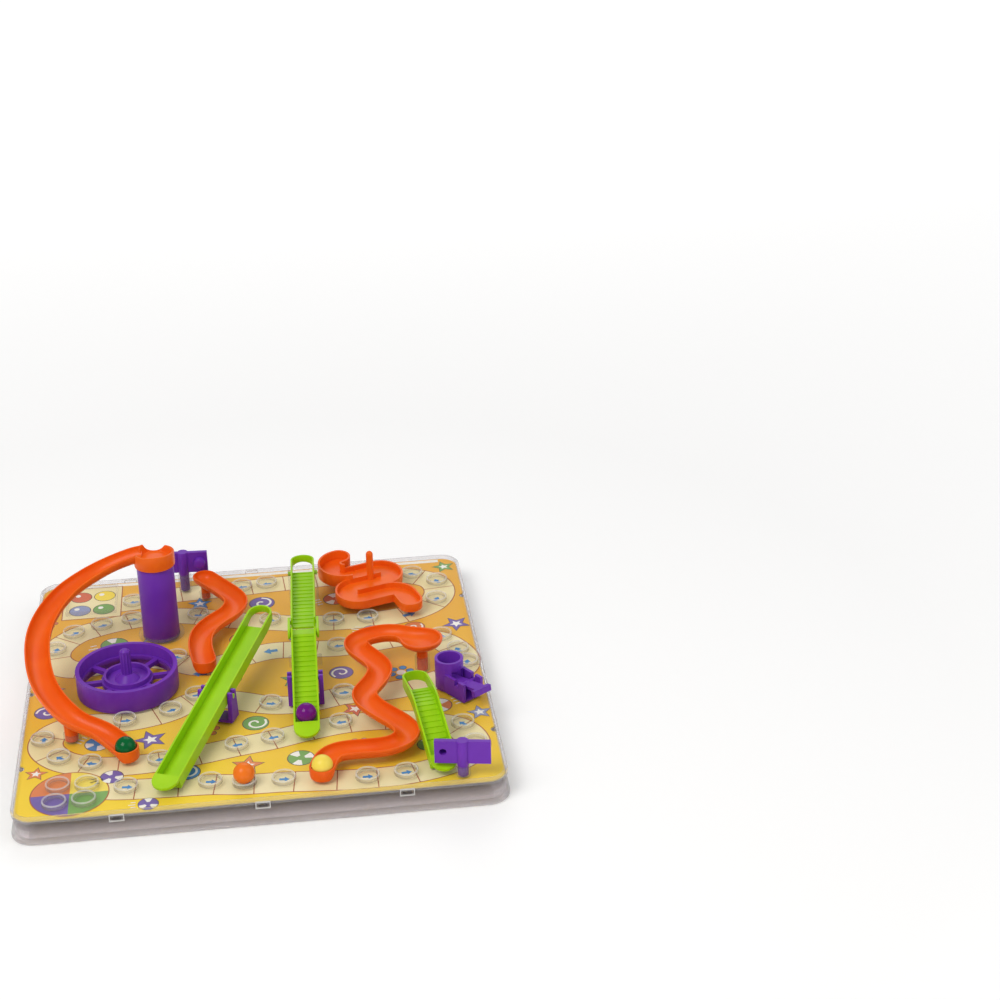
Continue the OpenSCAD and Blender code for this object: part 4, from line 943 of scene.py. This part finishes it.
for i in range(len(path)):
    t = min(i / SPOON_STEPS / DISH_STEPS, 1)
    wides.append((SNAKE_W + (DISH_W - SNAKE_W) * (1 + math.cos(math.pi * t)) / 2) / SNAKE_W)
shape = Shape()
channel(shape, path, LOW_DEPTH, wides)
post(shape, SPOON_ROUTE[0], 3.5, 15.9)
snake_piece(shape, "spoon_snake_skin", "spoon_snake")
print("snakes swept", 3)

# %% [markdown]
# The other solids already have their real shape and carry over. Moulded edges are never quite sharp, so
# three modifiers round them: a weld, a clean-up of flat faces and a narrow bevel. The short ladder goes
# without, because they break its mesh.

# %% Carried-over solids
FINISH = {
    PURPLE: ("tower", "spinner_wheel", "seesaw_fulcrum", "ladder_fulcrum", "front_striker", "rear_striker",
             "popper_housing", "popper_lever"),
    GREEN: ("seesaw_ladder", "lower_ladder", "ladder_bridge", "upper_ladder", "short_ladder"),
    ORANGE: ("maze_snake",),
    CLEAR: ("home_pen", "post_sockets", "tower_seat", "ladder_stands")}
MOULDED_EDGE, CLEAR_EDGE = 0.28, 0.12


def finish(name, mat):
    """Gives a carried-over solid its material."""
    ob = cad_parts[name]
    ob.data.materials.clear()
    ob.data.materials.append(mat)
    return ob


def soften(ob, width):
    """Rounds the hard edges of a carried-over solid."""
    weld = ob.modifiers.new("weld", "WELD")
    weld.merge_threshold = 1e-6
    flat = ob.modifiers.new("flat", "DECIMATE")
    flat.decimate_type = "DISSOLVE"
    flat.angle_limit = math.radians(0.5)
    bevel = ob.modifiers.new("bevel", "BEVEL")
    bevel.width = width * MM
    bevel.segments = 2
    bevel.limit_method = "ANGLE"
    bevel.angle_limit = math.radians(38)
    bevel.harden_normals = True


for mat, names in FINISH.items():
    for name in names:
        ob = finish(name, mat)
        if name != "short_ladder":
            soften(ob, CLEAR_EDGE if mat is CLEAR else MOULDED_EDGE)
for name, mat in MARBLES.items():
    finish(name, mat)
finish("game_card", GROUND)
print("carried over", sum(len(n) for n in FINISH.values()) + len(MARBLES) + 1)

# %% [markdown]
# Each striker has a low round boss on one wing, with a slightly domed face. A scaled sphere would be too
# full, so a few rings of falling width are lofted, and the piece rides on the striker's body.

# %% Striker bosses
BOSSES = (("front_boss", "striker_front", (118, -136.2), -11, 33.1),
          ("rear_boss", "striker_rear", (-45.6, 124), 176, 38.5))
BOSS_SIDE, BOSS_SIDES = -11.5, 32
BOSS_RINGS = ((3.45, 4.82), (3.3, 5.02), (2.9, 5.2), (2.2, 5.36), (1.2, 5.46), (0.1, 5.5))
for name, body, at, turn, z in BOSSES:
    rings = []
    for r, y in BOSS_RINGS:
        angles = [2 * math.pi * k / BOSS_SIDES for k in range(BOSS_SIDES)]
        rings.append([(*spot(at, turn, BOSS_SIDE + r * math.cos(a), y), z + r * math.sin(a)) for a in angles])
    shape = Shape()
    shape.loft(rings[::-1])
    ob = shape.build(name, [PURPLE])
    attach(ob, body)
print("bosses", len(BOSSES))

# %% [markdown]
# Last, the script ends here.

# %% Close
print("scene built")
